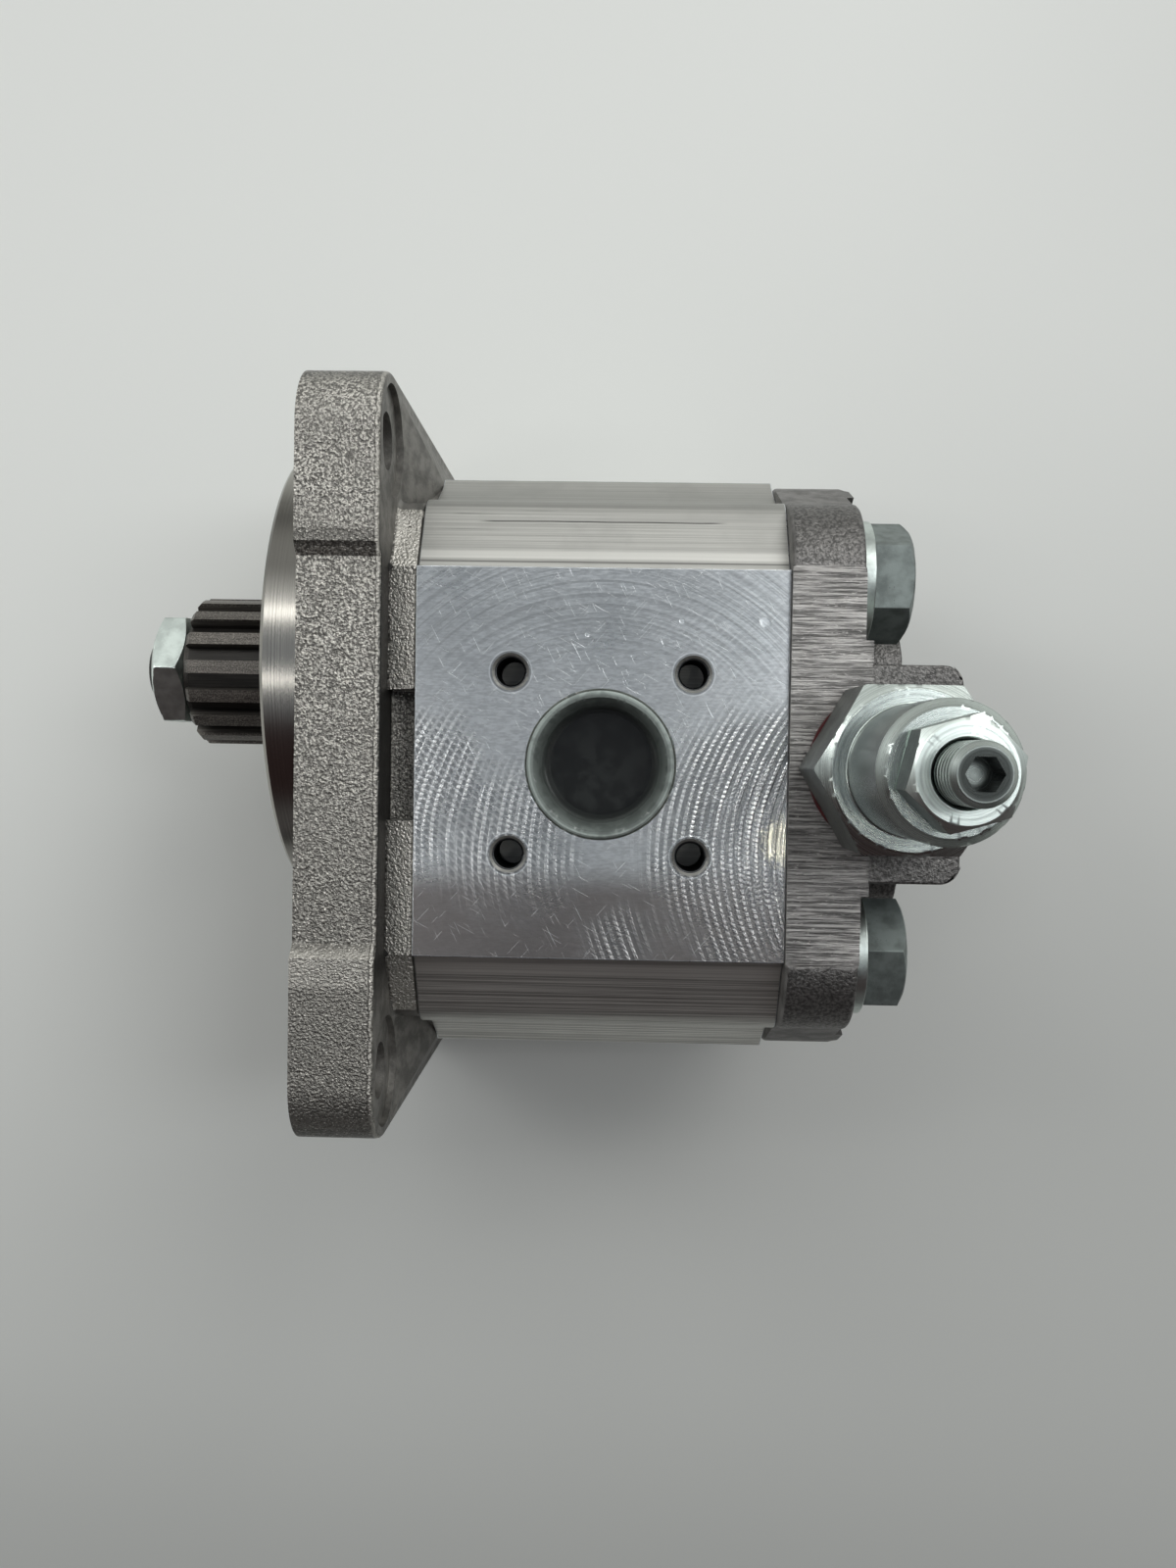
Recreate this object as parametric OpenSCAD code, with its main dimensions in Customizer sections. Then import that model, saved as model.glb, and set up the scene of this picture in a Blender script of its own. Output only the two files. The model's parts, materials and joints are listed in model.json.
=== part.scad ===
// Group 2 external gear pump with a square pilot flange, an extruded body and a
// rear cover that carries an adjustable relief valve.
// The origin is the centre of the pilot on the mounting face. +X runs from the
// mounting face to the rear cover, +Y from the driven gear to the drive gear,
// and +Z out of the suction port.

/* [Mounting flange] */
// Thickness of the flange plate
flange_t = 13; // [11:0.5:15]
// Distance between the mounting holes across the pump
flange_hole_w = 72; // [71:0.5:74]
// Distance between the mounting holes along the pump's height
flange_hole_h = 100; // [98:0.5:104]
// Height of the upper mounting holes above the shaft axis
flange_hole_up = 34.5; // [34:0.5:36]
// Diameter of the mounting holes
flange_hole_d = 9; // [8.5:0.25:11]
// Radius of the ears round the mounting holes
ear_r = 10.5; // [10:0.25:12]
// Diameter of the machined seat round each mounting hole
ear_seat_d = 17.5; // [16:0.5:19]
// Depth of that seat
ear_seat_t = 1; // [0.5:0.25:1.5]
// How far the plate's waist is set in from the ears on each side
waist_inset = 1.8; // [0.5:0.1:3]
// Length of the slope between an ear and the waist
waist_slope = 2; // [1:0.25:4]
// How far an ear reaches past its holes towards the waist
ear_reach = 17.5; // [16:0.5:19]

/* [Pilot] */
// Diameter of the pilot that centres the pump
pilot_d = 80; // [76:1:80]
// Height of the pilot in front of the mounting face
pilot_h = 7; // [6:0.25:8]
// Chamfer on the pilot's front edge
pilot_chamfer = 0.6; // [0.3:0.1:1]

/* [Front cover] */
// Distance from the mounting face to the body
cover_depth = 17.6; // [17:0.2:20]
// Half width of the neck where it leaves the flange
neck_root_w = 38; // [36:0.5:39.5]
// How far the neck's end is set in from the body's outline
neck_trim = 0.6; // [0.3:0.1:1]
// Half width of the gusset's foot on the flange
gusset_foot_w = 31; // [29:0.5:33]
// How far the gussets reach past each side of the ridges' flats
gusset_over = 1.8; // [1:0.1:2.4]
// Height of the pocket in each side of the neck
neck_pocket_h = 20.5; // [16:0.5:24]
// How far the pockets lie above the middle of the pump
neck_pocket_up = 1; // [0:0.25:2]
// Half width left between the pockets
neck_pocket_w = 35; // [34:0.5:37]
// Metal left between the tapped holes of the cover bolts and the mounting face
tap_skin = 2.5; // [2:0.25:3.5]

/* [Body] */
// Length of the extruded body
body_l = 58; // [56:0.5:62]
// Half width over the port faces
port_face_w = 40.4; // [39.8:0.2:41.6]
// Half height of the machined port face
port_face_h = 30.4; // [29:0.2:31]
// Depth of the step at the edge of the port face
port_face_step = 1.9; // [1:0.1:2.4]
// Radius of the extrusion's corners
corner_r = 6.4; // [6:0.2:7]
// How far the corner's centre lies inside the bolt's centre
corner_in = 1.2; // [0.8:0.1:1.6]
// How far the corner's centre lies above the bolt's centre
corner_up = 6.6; // [6:0.1:7]
// Half height of the body over its central ridges
ridge_h = 50.1; // [49.4:0.1:51]
// Half width of the flat on top of each ridge
ridge_w = 10.8; // [10:0.2:12]
// Half width of each ridge at its foot
ridge_foot_w = 19.3; // [18.5:0.1:20]
// Half height of the body at the foot of each ridge
ridge_foot_h = 44.7; // [44.4:0.1:45.2]
// How far the upper edge of each ridge is rounded off downwards
ridge_edge_h = 1; // [0.6:0.1:1.4]
// How far the same edge is rounded off outwards
ridge_edge_w = 1.3; // [0.8:0.1:1.8]
// How hollow each flank of a ridge is
ridge_hollow = 0.5; // [0.2:0.1:0.8]
// Half height of the groove between a ridge and a corner
valley_h = 42.2; // [41.6:0.1:42.4]
// Half width at the bottom of that groove
valley_w = 22.8; // [22:0.1:23.4]

/* [Ports] */
// Diameter of the suction port
suction_d = 20; // [16:0.5:20]
// Spacing of the four threads round the suction port
suction_spacing = 28.28; // [27.4:0.02:30]
// Diameter of the pressure port
pressure_d = 15; // [13:0.5:16]
// Spacing of the four threads round the pressure port
pressure_spacing = 24.75; // [24.25:0.05:26]
// Core diameter of the port threads
port_thread_d = 5; // [4.5:0.1:5.2]
// Depth of the port threads
port_thread_l = 13; // [10:0.5:13]
// Size of the chamfer on each port thread
port_thread_chamfer = 0.4; // [0.2:0.1:0.5]
// Chamfer at the mouth of each port
port_chamfer = 1.75; // [1.4:0.05:2]

/* [Port plugs] */
// How far a plug's lip stops short of the edge of the port's mouth
plug_lip_in = 0.35; // [0.2:0.05:0.6]
// How far the lip stands above the port face
plug_lip_t = 1; // [0.8:0.1:1.4]
// Width of the flat on top of the lip
plug_lip_land = 1.05; // [0.8:0.05:1.3]
// Chamfer round the lip's outer edge
plug_lip_chamfer = 0.3; // [0.2:0.05:0.4]
// Depth of a plug below the port face
plug_l = 11; // [8:0.5:12]
// Wall of a plug
plug_wall = 1.3; // [1:0.1:1.6]
// How far a plug's inner wall closes in from the mouth to the floor
plug_draft = 0.35; // [0.2:0.05:0.5]

/* [Rear cover] */
// Thickness of the rear cover's plate
rear_t = 12.5; // [11.5:0.25:14]
// Half width over the milled sides of the rear cover
rear_w = 41.6; // [41:0.1:42]
// Radius of the cover round each bolt
rear_lobe_r = 12.6; // [12.2:0.1:13]
// How far the cover's ridges are set in from the body's
rear_ridge_inset = 1.3; // [0.8:0.1:1.8]
// Height of the rounded edge of the cover's ridges
rear_ridge_edge_h = 1.2; // [0.8:0.1:1.6]
// How far that edge reaches past the body's flat on each side
rear_ridge_edge_w = 1.7; // [1:0.1:2.4]
// How far the foot of that edge reaches past the body's flat on each side
rear_ridge_foot_w = 6; // [5:0.25:7]
// Diameter of the milled seat under each bolt
bolt_seat_d = 33; // [32:0.5:34]
// Depth of the milled seat under each bolt
bolt_seat_t = 1.2; // [0.8:0.1:1.6]
// Half width of the raised pad on the cover's back
pad_w = 20; // [19:0.5:21]
// Half height of the raised pad
pad_h = 24.5; // [23.5:0.1:24.8]
// Height of the raised pad above the plate
pad_t = 9.3; // [8.5:0.1:10]
// Corner radius of the raised pad
pad_r = 8; // [6:0.5:10]
// Distance from the plate's front face to the back of the valve boss
boss_l = 26.3; // [26:0.1:27.5]
// Gap between the valve boss and the lower bolt washers
boss_bolt_gap = 2.4; // [2:0.1:2.8]
// How far the boss lies below the valve's axis
boss_drop = 0.8; // [0.4:0.1:1]
// Strip beside the boss that the milled bolt seats leave standing
boss_foot = 2; // [1.4:0.1:2.4]
// Corner radius of the valve boss
boss_r = 3; // [2:0.25:4]

/* [Gears and shafts] */
// Number of teeth on each gear
gear_teeth = 12; // [12:1:13]
// Pitch diameter of each gear, which is also the distance between the shafts
gear_pitch_d = 32; // [31.8:0.1:32.4]
// Pressure angle of the teeth
gear_pressure_angle = 28; // [27:0.5:29]
// Width of the gears
gear_w = 20; // [18:0.5:20]
// Tangential play between meshing teeth
gear_backlash = 0.12; // [0.08:0.01:0.2]
// Diameter of the journals
journal_d = 18; // [17:0.25:18.5]
// Chamfer at the end of each journal
journal_chamfer = 0.8; // [0.5:0.1:1.2]
// Diameter of the shaft's taper at its large end
taper_d = 17; // [16.4:0.1:17]
// Length over which the taper loses 1 mm in diameter
taper_ratio = 5; // [5:0.5:8]
// Diameter of the stud that carries the shaft nut
stud_d = 12; // [11:0.5:12]
// How far the stud shows past the shaft nut
stud_over = 1.9; // [1:0.1:3]
// Chamfer at the stud's end
stud_chamfer = 0.8; // [0.5:0.1:1.2]

/* [Splined hub] */
// Outer diameter of the splined hub
hub_d = 27.1; // [26.5:0.1:28]
// Depth of the grooves between the splines
spline_depth = 2.35; // [2:0.05:2.4]
// Number of splines
spline_count = 16; // [15:1:17]
// Width of the land on each spline
spline_land = 2.3; // [2:0.1:2.5]
// Length of the splined hub
hub_l = 20.5; // [19:0.5:22]
// Gap between the hub and the pilot's face
hub_gap = 0.8; // [0.5:0.1:1.5]
// Chamfer on the hub's outer end
hub_chamfer = 0.8; // [0.4:0.1:1.2]
// Diameter of the half-moon key
key_d = 13; // [12:0.5:14]
// Thickness of the key
key_t = 4; // [3:0.5:4.5]
// Height of the key
key_h = 5; // [4.5:0.25:5.25]
// How far the key stands out of the taper
key_out = 1.5; // [1.2:0.1:1.6]
// Outer diameter of the washer under the shaft nut
shaft_washer_d = 19.5; // [18.5:0.25:21]
// Thickness of that washer
shaft_washer_t = 1.3; // [1:0.1:1.8]
// Width across the flats of the shaft nut
shaft_nut_af = 19; // [18:0.5:20]
// Thickness of the shaft nut
shaft_nut_t = 6; // [5:0.25:7]

/* [Bearings] */
// Wall of the bearing bushes
bush_wall = 1; // [0.8:0.1:1.5]
// How far a bush stops short of its block's end at the gear
bush_inset = 0.6; // [0.4:0.1:1]
// How far a bush stops short of its block's end at the cover
bush_short = 2.3; // [1.5:0.1:4]
// Width of the oil channel in each side of a bearing block
block_channel_w = 7; // [5:0.5:8]
// Half width left between the channels
block_channel_z = 8.6; // [8.4:0.1:9.2]

/* [Cover bolts] */
// Distance between the bolts along the pump's height
bolt_span_h = 60; // [59.5:0.1:60.5]
// Distance between the bolts across the pump
bolt_span_w = 57.6; // [57.2:0.1:58]
// Thread diameter of the cover bolts
bolt_d = 10; // [8:0.5:10]
// Diameter of the holes that the bolts pass through
bolt_hole_d = 10.5; // [10.3:0.1:11]
// Length of each bolt's thread that the front cover holds
bolt_grip = 13.7; // [12.5:0.1:14]
// Width across the flats of the bolt heads
bolt_af = 17; // [16:0.5:18]
// Height of the bolt heads
bolt_head_t = 6.4; // [5.5:0.1:7]
// Outer diameter of the bolt washers
washer_d = 20; // [19:0.5:21]
// Thickness of the bolt washers
washer_t = 2; // [1.6:0.1:2.5]
// Diameter of the dowel pins
dowel_d = 6; // [5:0.5:6]
// Length of the dowel pins
dowel_l = 12; // [10:0.5:14]
// Distance of the dowel pins from the middle of the pump
dowel_up = 44; // [43.5:0.1:44.5]

/* [Seals] */
// Radius of the middle line of each body seal round the shaft centres
body_seal_r = 22; // [21.5:0.1:22.4]
// Width of each body seal
body_seal_w = 2; // [1.6:0.1:2.2]
// Depth of the groove of each body seal
body_seal_t = 1.6; // [1.3:0.1:1.8]
// Outer radius of the pressure seals round the shaft centres
zone_r = 17; // [16.8:0.1:17.4]
// Half height of the pressure seals' bridge between the shafts
zone_bridge_h = 6; // [5.5:0.1:6.5]
// Half width of that bridge
zone_bridge_w = 7.6; // [7.2:0.1:7.8]
// Distance of the pressure seals' upper edge from the shaft centres
zone_z = 6; // [5.5:0.25:7]
// Wall between a pressure seal and the bearing bush
zone_land = 1.2; // [1:0.1:1.5]
// Width of the rubber pressure seals
zone_seal_w = 1.5; // [1.2:0.1:1.6]
// Width of the plastic rings that back them
zone_back_w = 0.9; // [0.7:0.1:1]
// Depth of the groove that holds both
zone_t = 1.8; // [1.5:0.1:2.1]
// Outer diameter of the shaft seal
shaft_seal_d = 30; // [28:1:32]
// Width of the shaft seal
shaft_seal_w = 7; // [6.5:0.25:8]
// Distance of the shaft seal's shoulder behind the mounting face
shaft_seal_x = 3; // [2:0.25:4]
// Thickness of the shaft seal's case
shaft_seal_wall = 1.6; // [1.2:0.1:2]
// Thickness of the retaining ring
circlip_t = 1.2; // [1:0.1:1.5]
// Radial width of the retaining ring
circlip_w = 3; // [2.5:0.1:3.5]
// Depth of the retaining ring's groove
circlip_groove = 0.7; // [0.5:0.1:1]
// Width of the opening between the retaining ring's ends
circlip_opening = 7; // [6:0.25:8]
// Radius of the eyes at the retaining ring's ends
circlip_eye_r = 2.2; // [2:0.1:2.4]
// Radius of the hole in each eye
circlip_hole_r = 0.9; // [0.7:0.1:1]
// How far each eye's centre lies inside the ring's outer edge
circlip_eye_in = 4.4; // [4.2:0.1:4.8]
// Thickness of the wire in the garter spring that closes the shaft seal
garter_wire = 1.2; // [1:0.1:1.4]
// Distance of that spring before the seal's inner end
garter_back = 2.4; // [2:0.1:2.8]
// Thickness of the seal's lip where it leaves the case
seal_lip_t = 2.4; // [2:0.1:2.8]

/* [Relief valve] */
// Distance of the valve's axis behind the body
valve_back = 15; // [14.8:0.1:15.4]
// Width across the flats of the valve's hexagon
valve_af = 24; // [23:0.5:25]
// Height of the hexagon
valve_hex_t = 16; // [14:0.5:18]
// Diameter of the valve's collar
collar_d = 18.7; // [18:0.1:20]
// Length of the collar
collar_l = 19.7; // [18:0.1:22]
// Chamfer at the top of the collar
collar_chamfer = 1.2; // [0.6:0.1:1.6]
// Thread diameter of the valve
valve_thread_d = 20; // [19:0.5:20.5]
// Length of the valve's thread
valve_thread_l = 15.6; // [14:0.2:17]
// Diameter of the valve's sleeve below the thread
sleeve_d = 15.9; // [15.6:0.1:16.4]
// Length of that sleeve
sleeve_l = 11; // [9:0.5:11]
// Bore of the valve, in which the piston and the spring run
valve_bore_d = 12.4; // [12:0.1:13]
// Length of thread that holds the adjusting screw
adjuster_thread_l = 10.3; // [9:0.1:12]
// Thickness of the sealing ring under the hexagon
valve_seal_t = 1; // [0.8:0.1:1.4]
// Outer diameter of that sealing ring
valve_seal_d = 24.6; // [24:0.1:25.4]
// Diameter of the oilways to and from the valve
oilway_d = 6; // [5:0.25:6]
// Distance of the pressure oilway from the valve seat's middle
oilway_in_z = 11; // [10.6:0.1:11.4]
// Distance of the return oilway from the valve seat's middle
oilway_out_z = 11; // [10.6:0.1:11.4]
// Outer diameter of the valve seat
seat_d = 14; // [13:0.25:14.5]
// Half height of the valve seat
seat_h = 3; // [2.5:0.1:3.2]
// Bore of the valve seat
seat_bore_d = 6; // [5:0.25:6.5]
// Size of the chamfer that the poppet closes
seat_chamfer = 1; // [0.6:0.1:1.2]

/* [Poppet and spring] */
// Diameter of the poppet's closing disc
poppet_disc_d = 10; // [9:0.25:10.5]
// Diameter of the poppet's stem
poppet_stem_d = 6; // [5:0.25:6.5]
// Height of the poppet's piston above the seat
piston_up = 12.5; // [12.4:0.1:13]
// Length of the poppet's piston
piston_l = 8; // [6:0.5:9]
// Width across the flats that let oil past the piston
piston_af = 10.6; // [10:0.1:11]
// Length of the spigots that centre the spring
spigot_l = 3; // [2:0.25:4]
// Thickness of the spring's wire
spring_wire = 1.7; // [1.4:0.1:1.8]
// Number of turns in the spring
spring_turns = 8; // [6:0.5:9]
// Length of the spring as fitted
spring_l = 33; // [32:0.25:34]
// Clearance of the spring inside the valve's bore on each side
spring_gap = 0.5; // [0.3:0.05:0.6]
// Clearance of the spigots inside the spring on each side
spigot_gap = 0.4; // [0.3:0.05:0.6]
// Length of the spring plate
plate_l = 8; // [7:0.25:8.5]
// Thickness of the sealing ring on the spring plate
ring_wire = 1.4; // [1.2:0.1:1.6]

/* [Adjusting screw] */
// Thread diameter of the adjusting screw
adjuster_d = 8; // [7.5:0.1:8]
// How far the adjusting screw shows past its lock nut
adjuster_over = 6.8; // [5:0.1:10]
// Width across the flats of the hexagon socket
socket_af = 4; // [3.5:0.1:4.2]
// Depth of the hexagon socket
socket_l = 4; // [3:0.25:4.5]
// Chamfer at the end of the adjusting screw
adjuster_chamfer = 0.7; // [0.4:0.1:0.9]
// Width across the flats of the lock nut
lock_nut_af = 13; // [12.5:0.25:14]
// Thickness of the lock nut
lock_nut_t = 6.5; // [5:0.25:7]
// Width of the lead-in cut round the top of the lock nut's thread
lock_nut_lead_w = 0.45; // [0.3:0.05:0.6]
// Depth of that lead-in
lock_nut_lead_l = 0.9; // [0.5:0.1:1.2]

/* [Clearances] */
// Radial clearance of the gear tips and bearing blocks in the body
tip_gap = 0.05; // [0.03:0.01:0.08]
// Radial clearance of a journal in its bush
journal_gap = 0.03; // [0.02:0.01:0.05]
// Radial clearance of the shaft seal's lip
lip_gap = 0.04; // [0.02:0.01:0.08]
// Gap beside the gears and behind the bearing blocks
side_gap = 0.05; // [0.03:0.01:0.08]
// Radial clearance of a part that slides or screws by hand
slide_gap = 0.08; // [0.05:0.01:0.1]
// Radial clearance of the shaft in the front cover
shaft_gap = 0.4; // [0.3:0.05:0.6]
// Gap left at the end of a groove or slot
end_gap = 0.3; // [0.2:0.05:0.4]
// Distance of the closed poppet from its seat, where an oil film lies
poppet_gap = 0.1; // [0.05:0.01:0.15]

/* [Hidden] */
$fn = 96;

// Overlap that makes a cut run clean through a face
cut = 1;
// Places along the shaft
rear_x = cover_depth + body_l;
port_x = cover_depth + body_l / 2;
gear_x = port_x - gear_w / 2;
hub_x = -pilot_h - hub_gap - hub_l;
washer_x = hub_x - shaft_washer_t;
nut_x = washer_x - shaft_nut_t;
stud_x = nut_x - stud_over;
seat_x = rear_x + rear_t - bolt_seat_t;
head_x = seat_x + washer_t;
// Middle of the pump's height, half way between the shafts
mid_y = -gear_pitch_d / 2;
// Gear teeth
gear_module = gear_pitch_d / gear_teeth;
tip_r = gear_pitch_d / 2 + gear_module;
dedendum = 1.2;
root_r = gear_pitch_d / 2 - dedendum * gear_module;
base_r = gear_pitch_d / 2 * cos(gear_pressure_angle);
flank_steps = 6;
// Body bore and bearing blocks
bore_r = tip_r + tip_gap;
block_r = bore_r - tip_gap / 2;
block_l = (body_l - gear_w) / 2 - 2 * side_gap;
bush_r = journal_d / 2 + journal_gap + bush_wall;
bush_l = block_l - bush_inset - bush_short;
// Bolts
bolt_y = bolt_span_h / 2;
bolt_z = bolt_span_w / 2;
bolt_l = head_x - cover_depth + bolt_grip;
// How each bolt head came to rest when it was tightened
bolt_turns = [0, 17, 21, 52];
// Edges that a turned chamfer leaves on a hexagon: the flat's share and the slope
hex_face = 0.95;
hex_slope = 30;
// Shaft seal and its retaining ring
circlip_x = shaft_seal_x - shaft_seal_w - circlip_t;
circlip_r = shaft_seal_d / 2 + circlip_groove - slide_gap;
lip_r = journal_d / 2 + lip_gap;
garter_x = shaft_seal_x - garter_back;
// Neck of the front cover and boss of the valve
neck_top = mid_y + ridge_h - neck_trim;
neck_bottom = mid_y - ridge_h + neck_trim;
neck_x = flange_t - ear_seat_t;
boss_h = bolt_y - washer_d / 2 - boss_drop - boss_bolt_gap;
// Relief valve, along +Z
valve_x = rear_x + valve_back;
hex_z = rear_w + valve_seal_t;
collar_z = hex_z + valve_hex_t;
collar_top_z = collar_z + collar_l;
sleeve_z = hex_z - valve_seal_t - valve_thread_l;
sleeve_end_z = sleeve_z - sleeve_l;
bore_top_z = collar_top_z - adjuster_thread_l;
piston_z = seat_h + piston_up;
spring_z = piston_z + piston_l;
plate_z = spring_z + spring_l;
piston_d = valve_bore_d - 2 * slide_gap;
spring_d = valve_bore_d - 2 * spring_gap;
spigot_d = spring_d - 2 * (spring_wire + spigot_gap);
screw_d = adjuster_d - 2 * slide_gap;
screw_top_z = collar_top_z + lock_nut_t + adjuster_over;
// Where the lock nut happens to stand when it is tight, a corner this far from X
lock_nut_turn = 16.5;
// Groove and ring in the spring plate
ring_groove_w = ring_wire + end_gap;
ring_r = piston_d / 2 - ring_wire / 2;

// ---- helpers ---------------------------------------------------------------

// Extrudes an outline drawn in Y and Z along X
module along_x(x, l)
    translate([x, 0, 0]) rotate([90, 0, 90]) linear_extrude(l) children();

// A cylinder along X on the axis through y and z
module rod_x(x, l, d, y = 0, z = 0)
    translate([x, y, z]) rotate([0, 90, 0]) cylinder(h = l, d = d);

// A solid turned round X from points of [radius, x]
module turned_x(points, y = 0)
    translate([0, y, 0]) rotate([0, 90, 0]) rotate_extrude() polygon(points);

// A solid turned round the valve's axis from points of [radius, z]
module turned_valve(points)
    translate([valve_x, mid_y, 0]) rotate_extrude() polygon(points);

// Repeats what it is given at the four places of a rectangle in Y and Z
module at_four(h, w)
    for (y = [-h, h], z = [-w, w]) translate([0, mid_y + y, z]) children();

// Two equal circles round the shaft centres, joined where they meet
module figure_eight(r) {
    circle(r = r);
    translate([2 * mid_y, 0]) circle(r = r);
}

// A closed seal of one width that follows the figure eight
module eight_ring(r, w)
    difference() {
        figure_eight(r + w / 2);
        figure_eight(r - w / 2);
    }

// A hexagon with its corners along the first axis
module hexagon(af)
    circle(d = af / cos(30), $fn = 6);

// A hexagon with the round chamfer that a turned head has, along Z from z = 0.
// The chamfer is at the top, and at the bottom too if both is true.
module chamfered_hex(af, h, both = false) {
    face_r = hex_face * af / 2;
    out = af / cos(30) / 2 + cut;
    drop = (out - face_r) * tan(hex_slope);
    intersection() {
        linear_extrude(h) hexagon(af);
        rotate_extrude() polygon([
            [0, 0], [both ? face_r : out, 0], [out, both ? drop : 0],
            [out, h - drop], [face_r, h], [0, h]]);
    }
}

// ---- outlines --------------------------------------------------------------

// A quarter outline of [y, z] points about the middle, mirrored into a whole one
function whole(q) = concat(
    q,
    [for (i = [len(q) - 1:-1:0]) [q[i][0], -q[i][1]]],
    [for (i = [0:len(q) - 1]) [-q[i][0], -q[i][1]]],
    [for (i = [len(q) - 1:-1:0]) [-q[i][0], q[i][1]]]);

// Corner of the extrusion: its centre, where its arc starts, and a point on the arc at an
// angle from Z
corner_c = [bolt_y + corner_up, bolt_z - corner_in];
corner_from = 28;
corner_steps = 8;
function on_corner(a, r) = corner_c + r * [sin(a), cos(a)];

// Outline of the body, set in all round by trim
module body_outline(trim = 0)
    translate([mid_y, 0])
        polygon(whole([
            [0, port_face_w - trim],
            [port_face_h, port_face_w - trim],
            [port_face_h, port_face_w - port_face_step - trim],
            each [for (i = [0:corner_steps])
                on_corner(corner_from + (90 - corner_from) * i / corner_steps, corner_r - trim)],
            [valley_h - trim, valley_w],
            [ridge_foot_h - trim, ridge_foot_w],
            [(ridge_foot_h + ridge_h) / 2 - trim, (ridge_foot_w + ridge_w) / 2 - ridge_hollow],
            [ridge_h - ridge_edge_h - trim, ridge_w + ridge_edge_w],
            [ridge_h - trim, ridge_w - trim],
            [ridge_h - trim, 0]]));

// Outline of the rear cover: round lobes about the bolts and the body's ridges
module rear_outline()
    translate([mid_y, 0]) {
        top = ridge_h - rear_ridge_inset;
        square([2 * bolt_y, 2 * rear_w], center = true);
        for (y = [-bolt_y, bolt_y], z = [-bolt_z, bolt_z])
            translate([y, z]) circle(r = rear_lobe_r);
        polygon(whole([
            [0, bolt_z],
            [bolt_y + rear_lobe_r, bolt_z],
            [top - rear_ridge_edge_h, ridge_w + rear_ridge_foot_w],
            [top, ridge_w + rear_ridge_edge_w],
            [top, 0]]));
    }

// Outline of one gear, with a tooth on its first axis
function involute(r) = tan(acos(base_r / r)) * 180 / PI - acos(base_r / r);
tooth_half = 90 / gear_teeth - gear_backlash / 2 / gear_pitch_d * 180 / PI;
function flank(r) = tooth_half + involute(gear_pitch_d / 2) - involute(r);
flank_r = [for (i = [0:flank_steps]) base_r + (tip_r - base_r) * i / flank_steps];
function polar(r, a) = r * [cos(a), sin(a)];
function tooth(a) = concat(
    [polar(root_r, a - 180 / gear_teeth), polar(root_r, a - flank(base_r))],
    [for (r = flank_r) polar(r, a - flank(r))],
    [for (i = [flank_steps:-1:0]) polar(flank_r[i], a + flank(flank_r[i]))],
    [polar(root_r, a + flank(base_r))]);
module gear_outline(turn)
    rotate(turn)
        polygon([for (i = [0:gear_teeth - 1]) each tooth(i * 360 / gear_teeth)]);

// Outline of the splined hub, with a land on its second axis
spline_root_r = hub_d / 2 - spline_depth;
land_half = asin(spline_land / hub_d);
function spline(a) = concat(
    [polar(spline_root_r, a - 180 / spline_count), polar(spline_root_r, a - land_half)],
    [for (i = [-1:1]) polar(hub_d / 2, a + i * land_half)],
    [polar(spline_root_r, a + land_half)]);
module spline_outline()
    rotate(90)
        polygon([for (i = [0:spline_count - 1]) each spline(i * 360 / spline_count)]);

// Outline of the plate: two eared ends and a waist
ear_w = flange_hole_w / 2 + ear_r;
plate_top = flange_hole_up + ear_r;
plate_bottom = flange_hole_up - flange_hole_h - ear_r;
ear_low = flange_hole_up - ear_reach;
ear_high = flange_hole_up - flange_hole_h + ear_reach + waist_slope;
module flange_outline() {
    waist_w = ear_w - waist_inset;
    polygon([
        [plate_top - ear_r, ear_w], [ear_low, ear_w], [ear_low - waist_slope, waist_w],
        [ear_high + waist_slope, waist_w], [ear_high, ear_w], [plate_bottom + ear_r, ear_w],
        [plate_bottom, ear_w - ear_r], [plate_bottom, ear_r - ear_w],
        [plate_bottom + ear_r, -ear_w], [ear_high, -ear_w], [ear_high + waist_slope, -waist_w],
        [ear_low - waist_slope, -waist_w], [ear_low, -ear_w], [plate_top - ear_r, -ear_w],
        [plate_top, ear_r - ear_w], [plate_top, ear_w - ear_r]]);
    flange_holes() circle(r = ear_r);
}
module flange_holes()
    for (y = [flange_hole_up, flange_hole_up - flange_hole_h],
         z = [-flange_hole_w / 2, flange_hole_w / 2])
        translate([y, z]) children();

// Area behind a bearing block that the outlet pressure holds, set in by inset
module pressure_zone(inset) {
    shaft_r = bush_r + zone_land + inset;
    difference() {
        intersection() {
            union() {
                figure_eight(zone_r - inset);
                translate([mid_y, 0])
                    square(2 * [zone_bridge_h - inset, zone_bridge_w - inset], center = true);
            }
            translate([2 * mid_y - tip_r, -tip_r])
                square([2 * (tip_r - mid_y), tip_r + zone_z - inset]);
        }
        circle(r = shaft_r);
        translate([2 * mid_y, 0]) circle(r = shaft_r);
    }
}
module zone_ring(outer, inner)
    difference() {
        pressure_zone(outer);
        pressure_zone(inner);
    }

// ---- casing ----------------------------------------------------------------

// Slopes of the neck, drawn in X and Y, and in X and Z
module neck_side(top, bottom)
    translate([0, 0, -ear_w]) linear_extrude(2 * ear_w)
        polygon([
            [neck_x - cut, top], [neck_x, top], [cover_depth, neck_top],
            [cover_depth, neck_bottom], [neck_x, bottom], [neck_x - cut, bottom]]);
module neck_plan(root_w, end_w)
    translate([0, plate_top, 0]) rotate([90, 0, 0]) linear_extrude(plate_top - plate_bottom)
        polygon([
            [neck_x - cut, root_w], [neck_x, root_w], [cover_depth, end_w],
            [cover_depth, -end_w], [neck_x, -root_w], [neck_x - cut, -root_w]]);

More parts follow.
